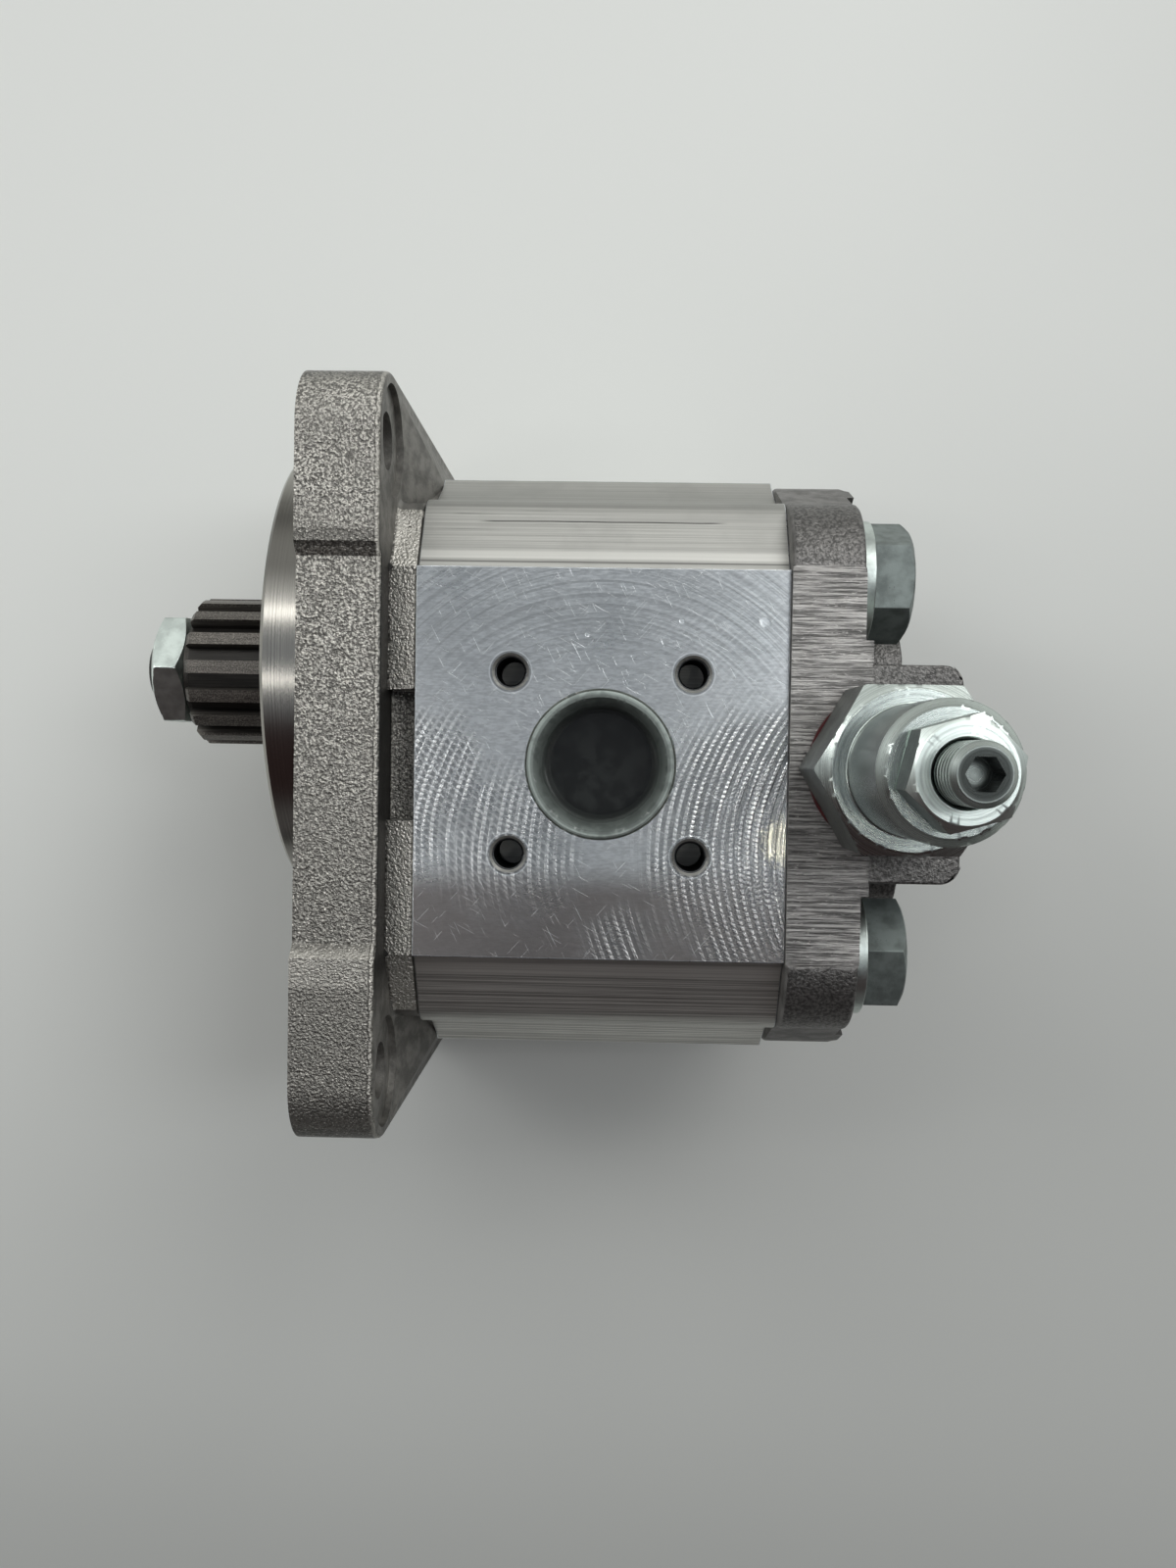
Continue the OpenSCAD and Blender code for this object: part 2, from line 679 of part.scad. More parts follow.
module front_cover() color([0.50, 0.49, 0.47])
    difference() {
        union() {
            along_x(0, flange_t) flange_outline();
            turned_x([
                [0, -pilot_h], [pilot_d / 2 - pilot_chamfer, -pilot_h],
                [pilot_d / 2, pilot_chamfer - pilot_h], [pilot_d / 2, cut], [0, cut]]);
            // Gussets that run from the plate's ends to the body's ridges
            intersection() {
                neck_side(plate_top, plate_bottom);
                neck_plan(gusset_foot_w, ridge_w + gusset_over);
            }
            // Neck that follows the body's outline
            intersection() {
                along_x(neck_x - cut, cover_depth - neck_x + cut) body_outline(neck_trim);
                neck_plan(neck_root_w, port_face_w - neck_trim);
            }
        }
        // Pockets in the neck
        for (z = [neck_pocket_w, -ear_w])
            translate([flange_t, mid_y + neck_pocket_up - neck_pocket_h / 2, z])
                cube([cover_depth - flange_t + cut, neck_pocket_h, ear_w - neck_pocket_w]);
        // Mounting holes and their seats
        along_x(-cut, flange_t + 2 * cut) flange_holes() circle(d = flange_hole_d);
        along_x(neck_x, cover_depth) flange_holes() circle(d = ear_seat_d);
        // Tapped holes for the cover bolts
        at_four(bolt_y, bolt_z) rod_x(tap_skin, cover_depth, bolt_d);
        // Shaft passage, seal housing and the groove of its retaining ring
        rod_x(-pilot_h - cut, pilot_h + cover_depth + 2 * cut, journal_d + 2 * shaft_gap);
        rod_x(-pilot_h - cut, pilot_h + cut + shaft_seal_x, shaft_seal_d);
        rod_x(circlip_x - side_gap, circlip_t + side_gap, shaft_seal_d + 2 * circlip_groove);
        // Groove of the body seal
        along_x(cover_depth - body_seal_t, body_seal_t + cut) eight_ring(body_seal_r, body_seal_w);
        dowel_holes(cover_depth);
    }

module dowel_holes(x)
    for (y = [-dowel_up, dowel_up])
        rod_x(x - dowel_l / 2, dowel_l, dowel_d, mid_y + y);

// One port with its mouth chamfer and its four threads, along +Z or -Z
module port_cuts(side, d, spacing)
    translate([port_x, mid_y, 0]) rotate([side > 0 ? 0 : 180, 0, 0]) {
        cylinder(h = port_face_w + cut, d = d);
        translate([0, 0, port_face_w - port_chamfer])
            cylinder(h = port_chamfer + cut, r1 = d / 2, r2 = d / 2 + port_chamfer + cut);
        for (x = [-spacing / 2, spacing / 2], y = [-spacing / 2, spacing / 2])
            translate([x, y, port_face_w - port_thread_l]) {
                cylinder(h = port_thread_l + cut, d = port_thread_d);
                translate([0, 0, port_thread_l - port_thread_chamfer])
                    cylinder(h = port_thread_chamfer + cut, r1 = port_thread_d / 2,
                             r2 = port_thread_d / 2 + port_thread_chamfer + cut);
            }
    }

module pump_body() color([0.72, 0.73, 0.74])
    difference() {
        along_x(cover_depth, body_l) body_outline();
        along_x(cover_depth - cut, body_l + 2 * cut) figure_eight(bore_r);
        at_four(bolt_y, bolt_z) rod_x(cover_depth - cut, body_l + 2 * cut, bolt_hole_d);
        port_cuts(1, suction_d, suction_spacing);
        port_cuts(-1, pressure_d, pressure_spacing);
        dowel_holes(cover_depth);
        dowel_holes(rear_x);
    }

// A block with rounded corners, drawn in Y and Z
module rounded_outline(h, w, r)
    for (turn = [0, 90]) {
        square([2 * h - (turn ? 2 * r : 0), 2 * w - (turn ? 0 : 2 * r)], center = true);
        for (y = [r - h, h - r], z = [r - w, w - r]) translate([y, z]) circle(r = r);
    }

module rear_cover() color([0.50, 0.49, 0.47])
    difference() {
        union() {
            along_x(rear_x, rear_t) rear_outline();
            along_x(rear_x, rear_t + pad_t)
                translate([mid_y, 0]) rounded_outline(pad_h, pad_w, pad_r);
            // Boss of the relief valve, rounded along its back edges
            translate([rear_x, mid_y - boss_drop, -pad_w]) linear_extrude(pad_w + rear_w) {
                translate([0, -boss_h]) square([boss_l - boss_r, 2 * boss_h]);
                translate([0, boss_r - boss_h]) square([boss_l, 2 * (boss_h - boss_r)]);
                for (y = [boss_r - boss_h, boss_h - boss_r])
                    translate([boss_l - boss_r, y]) circle(r = boss_r);
            }
        }
        // Bolt holes and their milled seats
        at_four(bolt_y, bolt_z) rod_x(rear_x - cut, rear_t + 2 * cut, bolt_hole_d);
        difference() {
            at_four(bolt_y, bolt_z) rod_x(seat_x, bolt_seat_t + cut, bolt_seat_d);
            along_x(rear_x, boss_l) translate([mid_y, 0]) {
                square([2 * (boss_h + boss_foot), 4 * rear_w], center = true);
                square([2 * pad_h, 2 * pad_w], center = true);
            }
        }
        // Thread, chamber, seat and pressure oilway of the relief valve
        translate([valve_x, mid_y, 0]) {
            translate([0, 0, sleeve_z]) cylinder(h = valve_thread_l + cut, d = valve_thread_d);
            translate([0, 0, -seat_h]) cylinder(h = sleeve_z + seat_h + cut, d = seat_d);
            translate([0, 0, seat_h]) cylinder(h = sleeve_z - seat_h + cut, d = sleeve_d);
            translate([0, 0, -oilway_in_z]) cylinder(h = oilway_in_z, d = oilway_d);
            translate([0, 0, -oilway_in_z]) sphere(d = oilway_d);
        }
        rod_x(rear_x - cut, valve_back + cut, oilway_d, mid_y, -oilway_in_z);
        rod_x(rear_x - cut, valve_back + cut, oilway_d, mid_y, oilway_out_z);
        along_x(rear_x - cut, body_seal_t + cut) eight_ring(body_seal_r, body_seal_w);
        dowel_holes(rear_x);
    }

// ---- bearings and seals ----------------------------------------------------

// A bearing block that starts at x, with its seal groove at its low or high end
module bearing_block(x, groove_low)
    difference() {
        along_x(x, block_l) figure_eight(block_r);
        along_x(x - cut, block_l + 2 * cut) {
            circle(r = bush_r);
            translate([2 * mid_y, 0]) circle(r = bush_r);
            for (z = [block_channel_z, -block_channel_z - tip_r])
                translate([mid_y - block_channel_w / 2, z]) square([block_channel_w, tip_r]);
        }
        along_x(groove_low ? x - cut : x + block_l - zone_t, zone_t + cut)
            zone_ring(0, zone_seal_w + zone_back_w);
    }
front_block_x = cover_depth + side_gap;
rear_block_x = rear_x - side_gap - block_l;
module front_bearing_block() color([0.76, 0.76, 0.77]) bearing_block(front_block_x, true);
module rear_bearing_block() color([0.76, 0.76, 0.77]) bearing_block(rear_block_x, false);

// Bushes, one for each journal
front_bush_x = front_block_x + block_l - bush_inset - bush_l;
rear_bush_x = rear_block_x + bush_inset;
module bush(x, y) color([0.62, 0.47, 0.28])
    difference() {
        rod_x(x, bush_l, 2 * bush_r, y);
        rod_x(x - cut, bush_l + 2 * cut, journal_d + 2 * journal_gap, y);
    }
module drive_front_bush() bush(front_bush_x, 0);
module drive_rear_bush() bush(rear_bush_x, 0);
module driven_front_bush() bush(front_bush_x, 2 * mid_y);
module driven_rear_bush() bush(rear_bush_x, 2 * mid_y);

// Seals between the body and its covers
module front_body_seal() color([0.10, 0.10, 0.10])
    along_x(cover_depth - body_seal_t, body_seal_t) eight_ring(body_seal_r, body_seal_w);
module rear_body_seal() color([0.10, 0.10, 0.10])
    along_x(rear_x, body_seal_t) eight_ring(body_seal_r, body_seal_w);

// Pressure seals between the bearing blocks and the covers, with their backing
module front_pressure_seal() color([0.10, 0.10, 0.10])
    along_x(cover_depth, zone_t + side_gap) zone_ring(0, zone_seal_w);
module rear_pressure_seal() color([0.10, 0.10, 0.10])
    along_x(rear_x - zone_t - side_gap, zone_t + side_gap) zone_ring(0, zone_seal_w);
module front_backup_ring() color([0.86, 0.84, 0.76])
    along_x(cover_depth + side_gap, zone_t) zone_ring(zone_seal_w, zone_seal_w + zone_back_w);
module rear_backup_ring() color([0.86, 0.84, 0.76])
    along_x(rear_x - side_gap - zone_t, zone_t) zone_ring(zone_seal_w, zone_seal_w + zone_back_w);

// Shaft seal: a case with a lip that leans towards the oil
garter_seat_r = lip_r + 0.9 * garter_wire;
module shaft_seal() color([0.13, 0.12, 0.12]) {
    out = shaft_seal_d / 2;
    inside = out - shaft_seal_wall;
    low = shaft_seal_x - shaft_seal_w;
    web = low + shaft_seal_wall;
    turned_x([
        [out, low], [out, shaft_seal_x], [inside, shaft_seal_x],
        [inside, web], [lip_r + seal_lip_t, web],
        [garter_seat_r, garter_x - garter_wire], [garter_seat_r, garter_x + garter_wire],
        [lip_r + garter_wire / 2, shaft_seal_x - garter_wire / 2], [lip_r, garter_x],
        [lip_r + garter_wire, web], [lip_r, low + garter_wire / 2], [lip_r, low]]);
}
module seal_spring() color([0.70, 0.71, 0.72])
    translate([garter_x, 0, 0]) rotate([0, 90, 0]) rotate_extrude()
        translate([garter_seat_r + garter_wire / 2, 0]) circle(d = garter_wire, $fn = 24);

// Retaining ring of the shaft seal, open at the bottom
module seal_circlip() color([0.25, 0.25, 0.26])
    along_x(circlip_x, circlip_t) {
        eye_z = circlip_opening / 2 + 2 * circlip_hole_r;
        difference() {
            circle(r = circlip_r);
            circle(r = circlip_r - circlip_w);
            translate([-circlip_r - cut, -circlip_opening / 2])
                square([circlip_r, circlip_opening]);
        }
        for (z = [-eye_z, eye_z])
            translate([circlip_eye_in - circlip_r, z])
                difference() {
                    circle(r = circlip_eye_r);
                    circle(r = circlip_hole_r);
                }
    }

module dowel_pins() color([0.66, 0.67, 0.68])
    for (x = [cover_depth, rear_x]) dowel_holes(x);

// ---- fasteners of the covers ----------------------------------------------

module cover_bolts() color([0.36, 0.39, 0.39])
    for (i = [0:3])
        translate([head_x, mid_y + (i < 2 ? 1 : -1) * bolt_y, (i % 2 ? -1 : 1) * bolt_z]) {
            rotate([0, 90, 0]) rotate(bolt_turns[i] + 90) chamfered_hex(bolt_af, bolt_head_t);
            rod_x(-bolt_l, bolt_l + cut, bolt_d);
        }

module bolt_washers() color([0.74, 0.77, 0.77])
    difference() {
        at_four(bolt_y, bolt_z) rod_x(seat_x, washer_t, washer_d);
        at_four(bolt_y, bolt_z) rod_x(seat_x - cut, washer_t + 2 * cut, bolt_hole_d);
    }

// ---- gears, shafts and hub -------------------------------------------------

// A journal that ends at x, with its chamfer at the low or high end
module journal(x0, x1, y, chamfer_low)
    turned_x([
        [0, x0], [journal_d / 2 - (chamfer_low ? journal_chamfer : 0), x0],
        [journal_d / 2, x0 + (chamfer_low ? journal_chamfer : 0)],
        [journal_d / 2, x1 - (chamfer_low ? 0 : journal_chamfer)],
        [journal_d / 2 - (chamfer_low ? 0 : journal_chamfer), x1], [0, x1]], y);

rear_end_x = rear_x - end_gap;
taper_x = -pilot_h - hub_gap;
function taper_r(x) = (taper_d - (taper_x - x) / taper_ratio) / 2;
key_x = taper_x - hub_l / 2;
key_top = taper_r(key_x) + key_out;
module key_disc(d, t)
    translate([key_x, key_top - key_h + key_d / 2, -t / 2]) cylinder(h = t, d = d);

module drive_gear_shaft() color([0.55, 0.56, 0.58])
    difference() {
        union() {
            along_x(gear_x + side_gap, gear_w - 2 * side_gap) gear_outline(0);
            journal(gear_x, rear_end_x, 0, false);
            turned_x([
                [0, stud_x], [stud_d / 2 - stud_chamfer, stud_x],
                [stud_d / 2, stud_x + stud_chamfer],
                [stud_d / 2, hub_x + end_gap], [taper_r(hub_x + end_gap), hub_x + end_gap],
                [taper_r(taper_x), taper_x], [journal_d / 2, taper_x + end_gap],
                [journal_d / 2, gear_x + cut], [0, gear_x + cut]]);
        }
        key_disc(key_d, key_t);
    }

module driven_gear_shaft() color([0.55, 0.56, 0.58]) {
    translate([0, 2 * mid_y, 0])
        along_x(gear_x + side_gap, gear_w - 2 * side_gap) gear_outline(180 / gear_teeth);
    journal(cover_depth + end_gap, gear_x + cut, 2 * mid_y, true);
    journal(gear_x, rear_end_x, 2 * mid_y, false);
}

module splined_hub() color([0.30, 0.29, 0.28])
    difference() {
        intersection() {
            along_x(hub_x, hub_l) spline_outline();
            turned_x([
                [0, hub_x], [hub_d / 2 - hub_chamfer, hub_x],
                [hub_d / 2 + cut, hub_x + hub_chamfer + cut],
                [hub_d / 2 + cut, taper_x + cut], [0, taper_x + cut]]);
        }
        turned_x([
            [0, hub_x - cut], [taper_r(hub_x - cut), hub_x - cut],
            [taper_r(taper_x + cut), taper_x + cut], [0, taper_x + cut]]);
        translate([hub_x - cut, 0, -key_t / 2])
            cube([hub_l + 2 * cut, key_top + end_gap, key_t]);
    }

module hub_key() color([0.60, 0.61, 0.62])
    intersection() {
        key_disc(key_d, key_t);
        translate([key_x - key_d, 0, -key_t]) cube([2 * key_d, key_top, 2 * key_t]);
    }

module shaft_washer() color([0.36, 0.36, 0.35])
    difference() {
        rod_x(washer_x, shaft_washer_t, shaft_washer_d);
        rod_x(washer_x - cut, shaft_washer_t + 2 * cut, stud_d);
    }

module shaft_nut() color([0.70, 0.74, 0.73])
    difference() {
        translate([washer_x, 0, 0]) rotate([0, -90, 0])
            chamfered_hex(shaft_nut_af, shaft_nut_t, true);
        rod_x(nut_x - cut, shaft_nut_t + 2 * cut, stud_d);
    }

// ---- relief valve ----------------------------------------------------------

module valve_body() color([0.68, 0.72, 0.71])
    difference() {
        union() {
            translate([valve_x, mid_y, hex_z]) chamfered_hex(valve_af, valve_hex_t);
            turned_valve([
                [0, sleeve_end_z], [sleeve_d / 2, sleeve_end_z], [sleeve_d / 2, sleeve_z],
                [valve_thread_d / 2, sleeve_z], [valve_thread_d / 2, hex_z + cut],
                [collar_d / 2, hex_z + cut], [collar_d / 2, collar_top_z - collar_chamfer],
                [collar_d / 2 - collar_chamfer, collar_top_z], [0, collar_top_z]]);
        }
        turned_valve([
            [0, sleeve_end_z - cut], [valve_bore_d / 2, sleeve_end_z - cut],
            [valve_bore_d / 2, bore_top_z], [adjuster_d / 2, bore_top_z],
            [adjuster_d / 2, collar_top_z + cut], [0, collar_top_z + cut]]);
    }

module valve_seal() color([0.38, 0.08, 0.08])
    turned_valve([
        [valve_thread_d / 2, rear_w], [valve_seal_d / 2, rear_w],
        [valve_seal_d / 2, hex_z], [valve_thread_d / 2, hex_z]]);

module valve_seat() color([0.60, 0.61, 0.63])
    turned_valve([
        [seat_bore_d / 2, -seat_h], [seat_d / 2, -seat_h], [seat_d / 2, seat_h],
        [seat_bore_d / 2 + seat_chamfer, seat_h], [seat_bore_d / 2, seat_h - seat_chamfer]]);

// The cone keeps a small gap to the seat's chamfer, as the closed valve's oil film
module valve_poppet() color([0.60, 0.61, 0.63]) {
    cone_r = poppet_disc_d / 2;
    cone_z = seat_h + poppet_gap;
    tip = seat_bore_d / 2 - 0.4;
    rim = seat_bore_d / 2 + seat_chamfer;
    turned_valve([
        [0, cone_z - rim + tip], [tip, cone_z - rim + tip], [cone_r, cone_z + cone_r - rim],
        [cone_r, cone_z + cone_r - rim + 1], [poppet_stem_d / 2, cone_z + cone_r - rim + 1],
        [poppet_stem_d / 2, piston_z + cut], [0, piston_z + cut]]);
    translate([valve_x, mid_y, piston_z])
        intersection() {
            cylinder(h = piston_l, d = piston_d);
            linear_extrude(piston_l) rotate(45) square(piston_af, center = true);
        }
    turned_valve([[0, spring_z - cut], [spigot_d / 2, spring_z - cut],
                  [spigot_d / 2, spring_z + spigot_l], [0, spring_z + spigot_l]]);
}

// Spring: a round wire swept along a helix that closes up at both ends
spring_sides = 8;
spring_steps = 20;
coil_r = (spring_d - spring_wire) / 2;
rings = ceil(spring_turns * spring_steps);
function rise(t) = t < 1 ? t * t / 2 : t > spring_turns - 1
    ? spring_turns - 1 - pow(spring_turns - t, 2) / 2 : t - 0.5;
function spring_height(t) = spring_wire / 2
    + (spring_l - spring_wire) * rise(t) / (spring_turns - 1);
function spring_ring(i) = [for (j = [0:spring_sides - 1])
    let (t = i / spring_steps, a = 360 * t, b = 360 * j / spring_sides,
         r = coil_r + spring_wire / 2 * cos(b))
    [r * cos(a), r * sin(a), spring_height(t) + spring_wire / 2 * sin(b)]];
module valve_spring() color([0.45, 0.46, 0.48])
    translate([valve_x, mid_y, spring_z])
        polyhedron(
            points = [for (i = [0:rings]) each spring_ring(i)],
            faces = concat(
                [[for (j = [0:spring_sides - 1]) j]],
                [for (i = [0:rings - 1], j = [0:spring_sides - 1])
                    let (a = i * spring_sides + j, b = i * spring_sides + (j + 1) % spring_sides)
                    [a, a + spring_sides, b + spring_sides, b]],
                [[for (j = [spring_sides - 1:-1:0]) rings * spring_sides + j]]));

// Spring plate with its sealing ring's groove
groove_z = plate_z + (plate_l - ring_groove_w) / 2;
module spring_plate() color([0.60, 0.61, 0.63])
    turned_valve([
        [0, plate_z - spigot_l], [spigot_d / 2, plate_z - spigot_l], [spigot_d / 2, plate_z],
        [piston_d / 2, plate_z], [piston_d / 2, groove_z],
        [ring_r - ring_wire / 2, groove_z], [ring_r - ring_wire / 2, groove_z + ring_groove_w],
        [piston_d / 2, groove_z + ring_groove_w], [piston_d / 2, plate_z + plate_l],
        [0, plate_z + plate_l]]);
module plate_ring() color([0.10, 0.10, 0.10])
    translate([valve_x, mid_y, groove_z + ring_groove_w / 2]) rotate_extrude()
        translate([ring_r, 0]) circle(d = ring_wire, $fn = 24);

module adjusting_screw() color([0.62, 0.66, 0.65])
    difference() {
        turned_valve([
            [0, plate_z + plate_l], [screw_d / 2, plate_z + plate_l],
            [screw_d / 2, screw_top_z - adjuster_chamfer],
            [screw_d / 2 - adjuster_chamfer, screw_top_z], [0, screw_top_z]]);
        translate([valve_x, mid_y, screw_top_z - socket_l]) linear_extrude(socket_l + cut)
            hexagon(socket_af);
    }

module lock_nut() color([0.70, 0.74, 0.73])
    translate([valve_x, mid_y, collar_top_z]) rotate(lock_nut_turn)
        difference() {
            chamfered_hex(lock_nut_af, lock_nut_t, true);
            rotate_extrude() polygon([
                [0, -cut], [adjuster_d / 2, -cut], [adjuster_d / 2, lock_nut_t - lock_nut_lead_l],
                [adjuster_d / 2 + lock_nut_lead_w, lock_nut_t],
                [adjuster_d / 2 + lock_nut_lead_w, lock_nut_t + cut], [0, lock_nut_t + cut]]);
        }

// ---- port plugs ------------------------------------------------------------

// A push-in cup with a lip that lies in the chamfer of the port's mouth
module plug(side, d)
    translate([port_x, mid_y, 0]) rotate([side > 0 ? 0 : 180, 0, 0]) rotate_extrude() {
        out = d / 2 - slide_gap;
        lip = d / 2 + port_chamfer - plug_lip_in;
        top = port_face_w + plug_lip_t;
        floor_z = port_face_w - plug_l;
        inner = out - plug_wall;
        step_z = port_face_w - port_chamfer;
        polygon([
            [0, floor_z], [out, floor_z], [out, step_z + slide_gap],
            [lip, port_face_w - plug_lip_in + 2 * slide_gap],
            [lip, top - plug_lip_chamfer], [lip - plug_lip_chamfer, top],
            [lip - plug_lip_land, top], [inner + plug_lip_chamfer, step_z],
            [inner, step_z - plug_wall],
            [inner - plug_draft, floor_z + plug_wall], [0, floor_z + plug_wall]]);
    }
module suction_plug() color([0.80, 0.82, 0.78]) plug(1, suction_d);
module pressure_plug() color([0.80, 0.82, 0.78]) plug(-1, pressure_d);

front_cover();
pump_body();
rear_cover();
front_bearing_block();
rear_bearing_block();
drive_front_bush();
drive_rear_bush();
driven_front_bush();
driven_rear_bush();
front_body_seal();
rear_body_seal();
front_pressure_seal();
rear_pressure_seal();
front_backup_ring();
rear_backup_ring();
shaft_seal();
seal_spring();
seal_circlip();
dowel_pins();
cover_bolts();
bolt_washers();
drive_gear_shaft();
driven_gear_shaft();
splined_hub();
hub_key();
shaft_washer();
shaft_nut();
valve_body();
valve_seal();
valve_seat();
valve_poppet();
valve_spring();
spring_plate();
plate_ring();
adjusting_screw();
lock_nut();
suction_plug();
pressure_plug();
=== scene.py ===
import json
import math

import bmesh
import bpy
from mathutils import Matrix, Quaternion, Vector

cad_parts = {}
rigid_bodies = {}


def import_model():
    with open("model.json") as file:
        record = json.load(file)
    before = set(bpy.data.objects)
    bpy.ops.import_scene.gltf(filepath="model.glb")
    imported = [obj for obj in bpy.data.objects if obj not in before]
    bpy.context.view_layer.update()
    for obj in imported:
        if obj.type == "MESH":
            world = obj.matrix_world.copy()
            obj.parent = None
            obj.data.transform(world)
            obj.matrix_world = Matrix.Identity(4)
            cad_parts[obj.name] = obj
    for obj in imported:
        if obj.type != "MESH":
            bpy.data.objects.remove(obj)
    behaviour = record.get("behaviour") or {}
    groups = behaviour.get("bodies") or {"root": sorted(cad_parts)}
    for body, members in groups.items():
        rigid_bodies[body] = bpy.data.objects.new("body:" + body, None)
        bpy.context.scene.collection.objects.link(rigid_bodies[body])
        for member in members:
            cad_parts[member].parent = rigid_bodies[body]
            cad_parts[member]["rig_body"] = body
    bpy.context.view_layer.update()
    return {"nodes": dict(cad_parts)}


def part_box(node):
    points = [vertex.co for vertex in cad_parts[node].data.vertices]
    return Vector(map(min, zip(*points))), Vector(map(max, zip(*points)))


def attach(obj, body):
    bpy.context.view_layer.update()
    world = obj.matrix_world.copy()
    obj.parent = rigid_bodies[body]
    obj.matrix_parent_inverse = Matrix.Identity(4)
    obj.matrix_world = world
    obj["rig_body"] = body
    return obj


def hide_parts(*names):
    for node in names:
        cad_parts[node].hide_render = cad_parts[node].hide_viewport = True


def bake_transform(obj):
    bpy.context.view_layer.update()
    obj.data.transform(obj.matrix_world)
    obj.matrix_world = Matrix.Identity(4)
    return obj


bl_info = {
    "name": "Hydraulic gear pump",
    "version": (1, 0, 0),
    "blender": (4, 5, 0),
    "location": "3D View > Sidebar > Gear pump",
    "description": "Rounds, threads and finishes the parts of a hydraulic gear pump",
    "category": "Object",
}

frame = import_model()

MM = 0.001
COVER_LOW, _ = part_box("front_cover")
_, BODY_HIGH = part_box("pump_body")
REAR_LOW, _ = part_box("rear_cover")
PORT_CENTRE = sum(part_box("suction_plug"), Vector()) / 2
VALVE_CENTRE = sum(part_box("valve_body"), Vector()) / 2

# Places on the part in millimetres, as the finishes count
PORT_X, PORT_Y = PORT_CENTRE.x / MM, PORT_CENTRE.y / MM
VALVE_AXIS = (VALVE_CENTRE.x / MM, VALVE_CENTRE.y / MM)
PORT_FACE_Z = 40.4
PILOT_FACE_X, ROUND_FROM_X = 0.05, 2.0
FLANGE_BACK_X = 12.9
FLANGE_SEATS = ((34.5, 36.0), (-65.5, 36.0))
FLANGE_SEAT_R = 9.2
UPPER_STEP_Y, LOWER_STEP_Y = 18.0, -45.0
SEAM_X, CREASE_X, NECK_X = 12.5, 13.4, 13.1
POCKET_Y, POCKET_HALF = -15.1, 10.2
# Heights along Y of the painted shade on the pilot's upper front
PILOT_PAINTED_SHADE_Y = (8.0, 15.0)
REAR_MILLED_HALF, REAR_MILLED_BACK_X = 31.0, 88.1
REAR_LOBE_HALF, REAR_BACK_X, BOLT_HEAD_X = 43.8, 88.5, 88.0
COLLAR_Z = (58.8, 78.6)
SHAFT_BLACK_X = -28.0

# Painted glints where the port face catches the light: X, Y, inner radius, outer radius and strength
PAINTED_GLARES = (
    (74.0, -27.0, 8.0, 25.5, 1.0), (16.0, -19.5, 5.0, 18.0, 0.65), (50.0, -44.5, 2.0, 9.0, 0.6),
    (65.0, -44.0, 1.0, 6.0, 0.6), (31.0, -28.0, 6.0, 16.0, 0.4),
)
# A painted highlight spot and small dents on the port face: X, Y and radius
PAINTED_GLOW = (75.5, -27.5, 4.5)
CHIPS = ((71.6, 6.4, 0.9), (58.8, 6.3, 0.5), (44.3, 4.0, 0.4))
# The long scratch on the extrusion: Y, start and end along X
SCRATCH = (22.7, 26.0, 66.4)
# Painted highlights along the edges of the port face's strip, and a painted shade line: Y, half
# width and softness
PAINTED_HIGHLIGHT_EDGES = ((16.7, 0.7, 0.3), (-48.6, 0.9, 0.4))
PAINTED_SHADE_EDGE = (15.5, 0.12, 0.08)
# Painted shade rim and painted highlight rim round a port thread: radius, half width and softness
PAINTED_SHADE_RIM, PAINTED_HIGHLIGHT_RIM = (2.95, 0.25, 0.1), (3.3, 0.1, 0.08)


def length(name, description, default):
    """A size that the maker may change, in metres."""
    return bpy.props.FloatProperty(
        name=name, description=description, default=default, min=0.0,
        precision=5, subtype="DISTANCE", unit="LENGTH",
    )


def tint(name, description, default):
    """A colour that the maker may change."""
    return bpy.props.FloatVectorProperty(
        name=name, description=description, default=default, size=3,
        min=0.0, max=1.0, subtype="COLOR",
    )


class PumpSizes(bpy.types.PropertyGroup):
    """Sizes of the rounds, threads and small details."""

    cast_round: length("Cast round", "Round on the edges of a casting", 0.0008)
    cut_round: length("Cut round", "Broken edge of a machined part", 0.0002)
    bolt_round: length("Bolt round", "Round on a forged bolt head", 0.00015)
    port_bolts: length("Port bolts", "Distance between the suction port's threads", 0.02828)
    outlet_bolts: length("Outlet bolts", "Distance between the pressure port's threads", 0.02475)
    port_pitch: length("Port pitch", "Pitch of the port threads", 0.001)
    port_core: length("Port core", "Core diameter of the port threads", 0.005)
    plug_round: length("Plug round", "Round on the edges of a moulded plug", 0.00015)
    screw_pitch: length("Screw pitch", "Pitch of the adjusting screw's thread", 0.00125)


class PumpTints(bpy.types.PropertyGroup):
    """Colours of the finishes."""

    cast: tint("Casting", "Blasted iron of the front cover", (0.40, 0.385, 0.355))
    rear: tint("Rear casting", "Iron of the rear cover", (0.31, 0.30, 0.29))
    aluminium: tint("Aluminium", "Extruded pump body", (0.54, 0.56, 0.575))
    hub: tint("Hub", "Phosphated coupling hub", (0.11, 0.101, 0.091))
    bolt: tint("Bolt", "Zinc flake of the bolt heads", (0.165, 0.19, 0.183))
    zinc: tint("Zinc", "Bright zinc of the valve, nuts and washers", (0.60, 0.66, 0.63))
    plug: tint("Plug", "Translucent plastic of the port plugs", (0.62, 0.70, 0.66))
    floor: tint("Floor", "Pale bench top under the pump", (0.64, 0.65, 0.63))


# ---- finishes ----

def arithmetic(operation, swapped=False):
    """A method that adds one Math node; swapped puts the other value first."""
    def method(self, other):
        return self.maths(operation, *((other, self) if swapped else (self, other)))
    return method


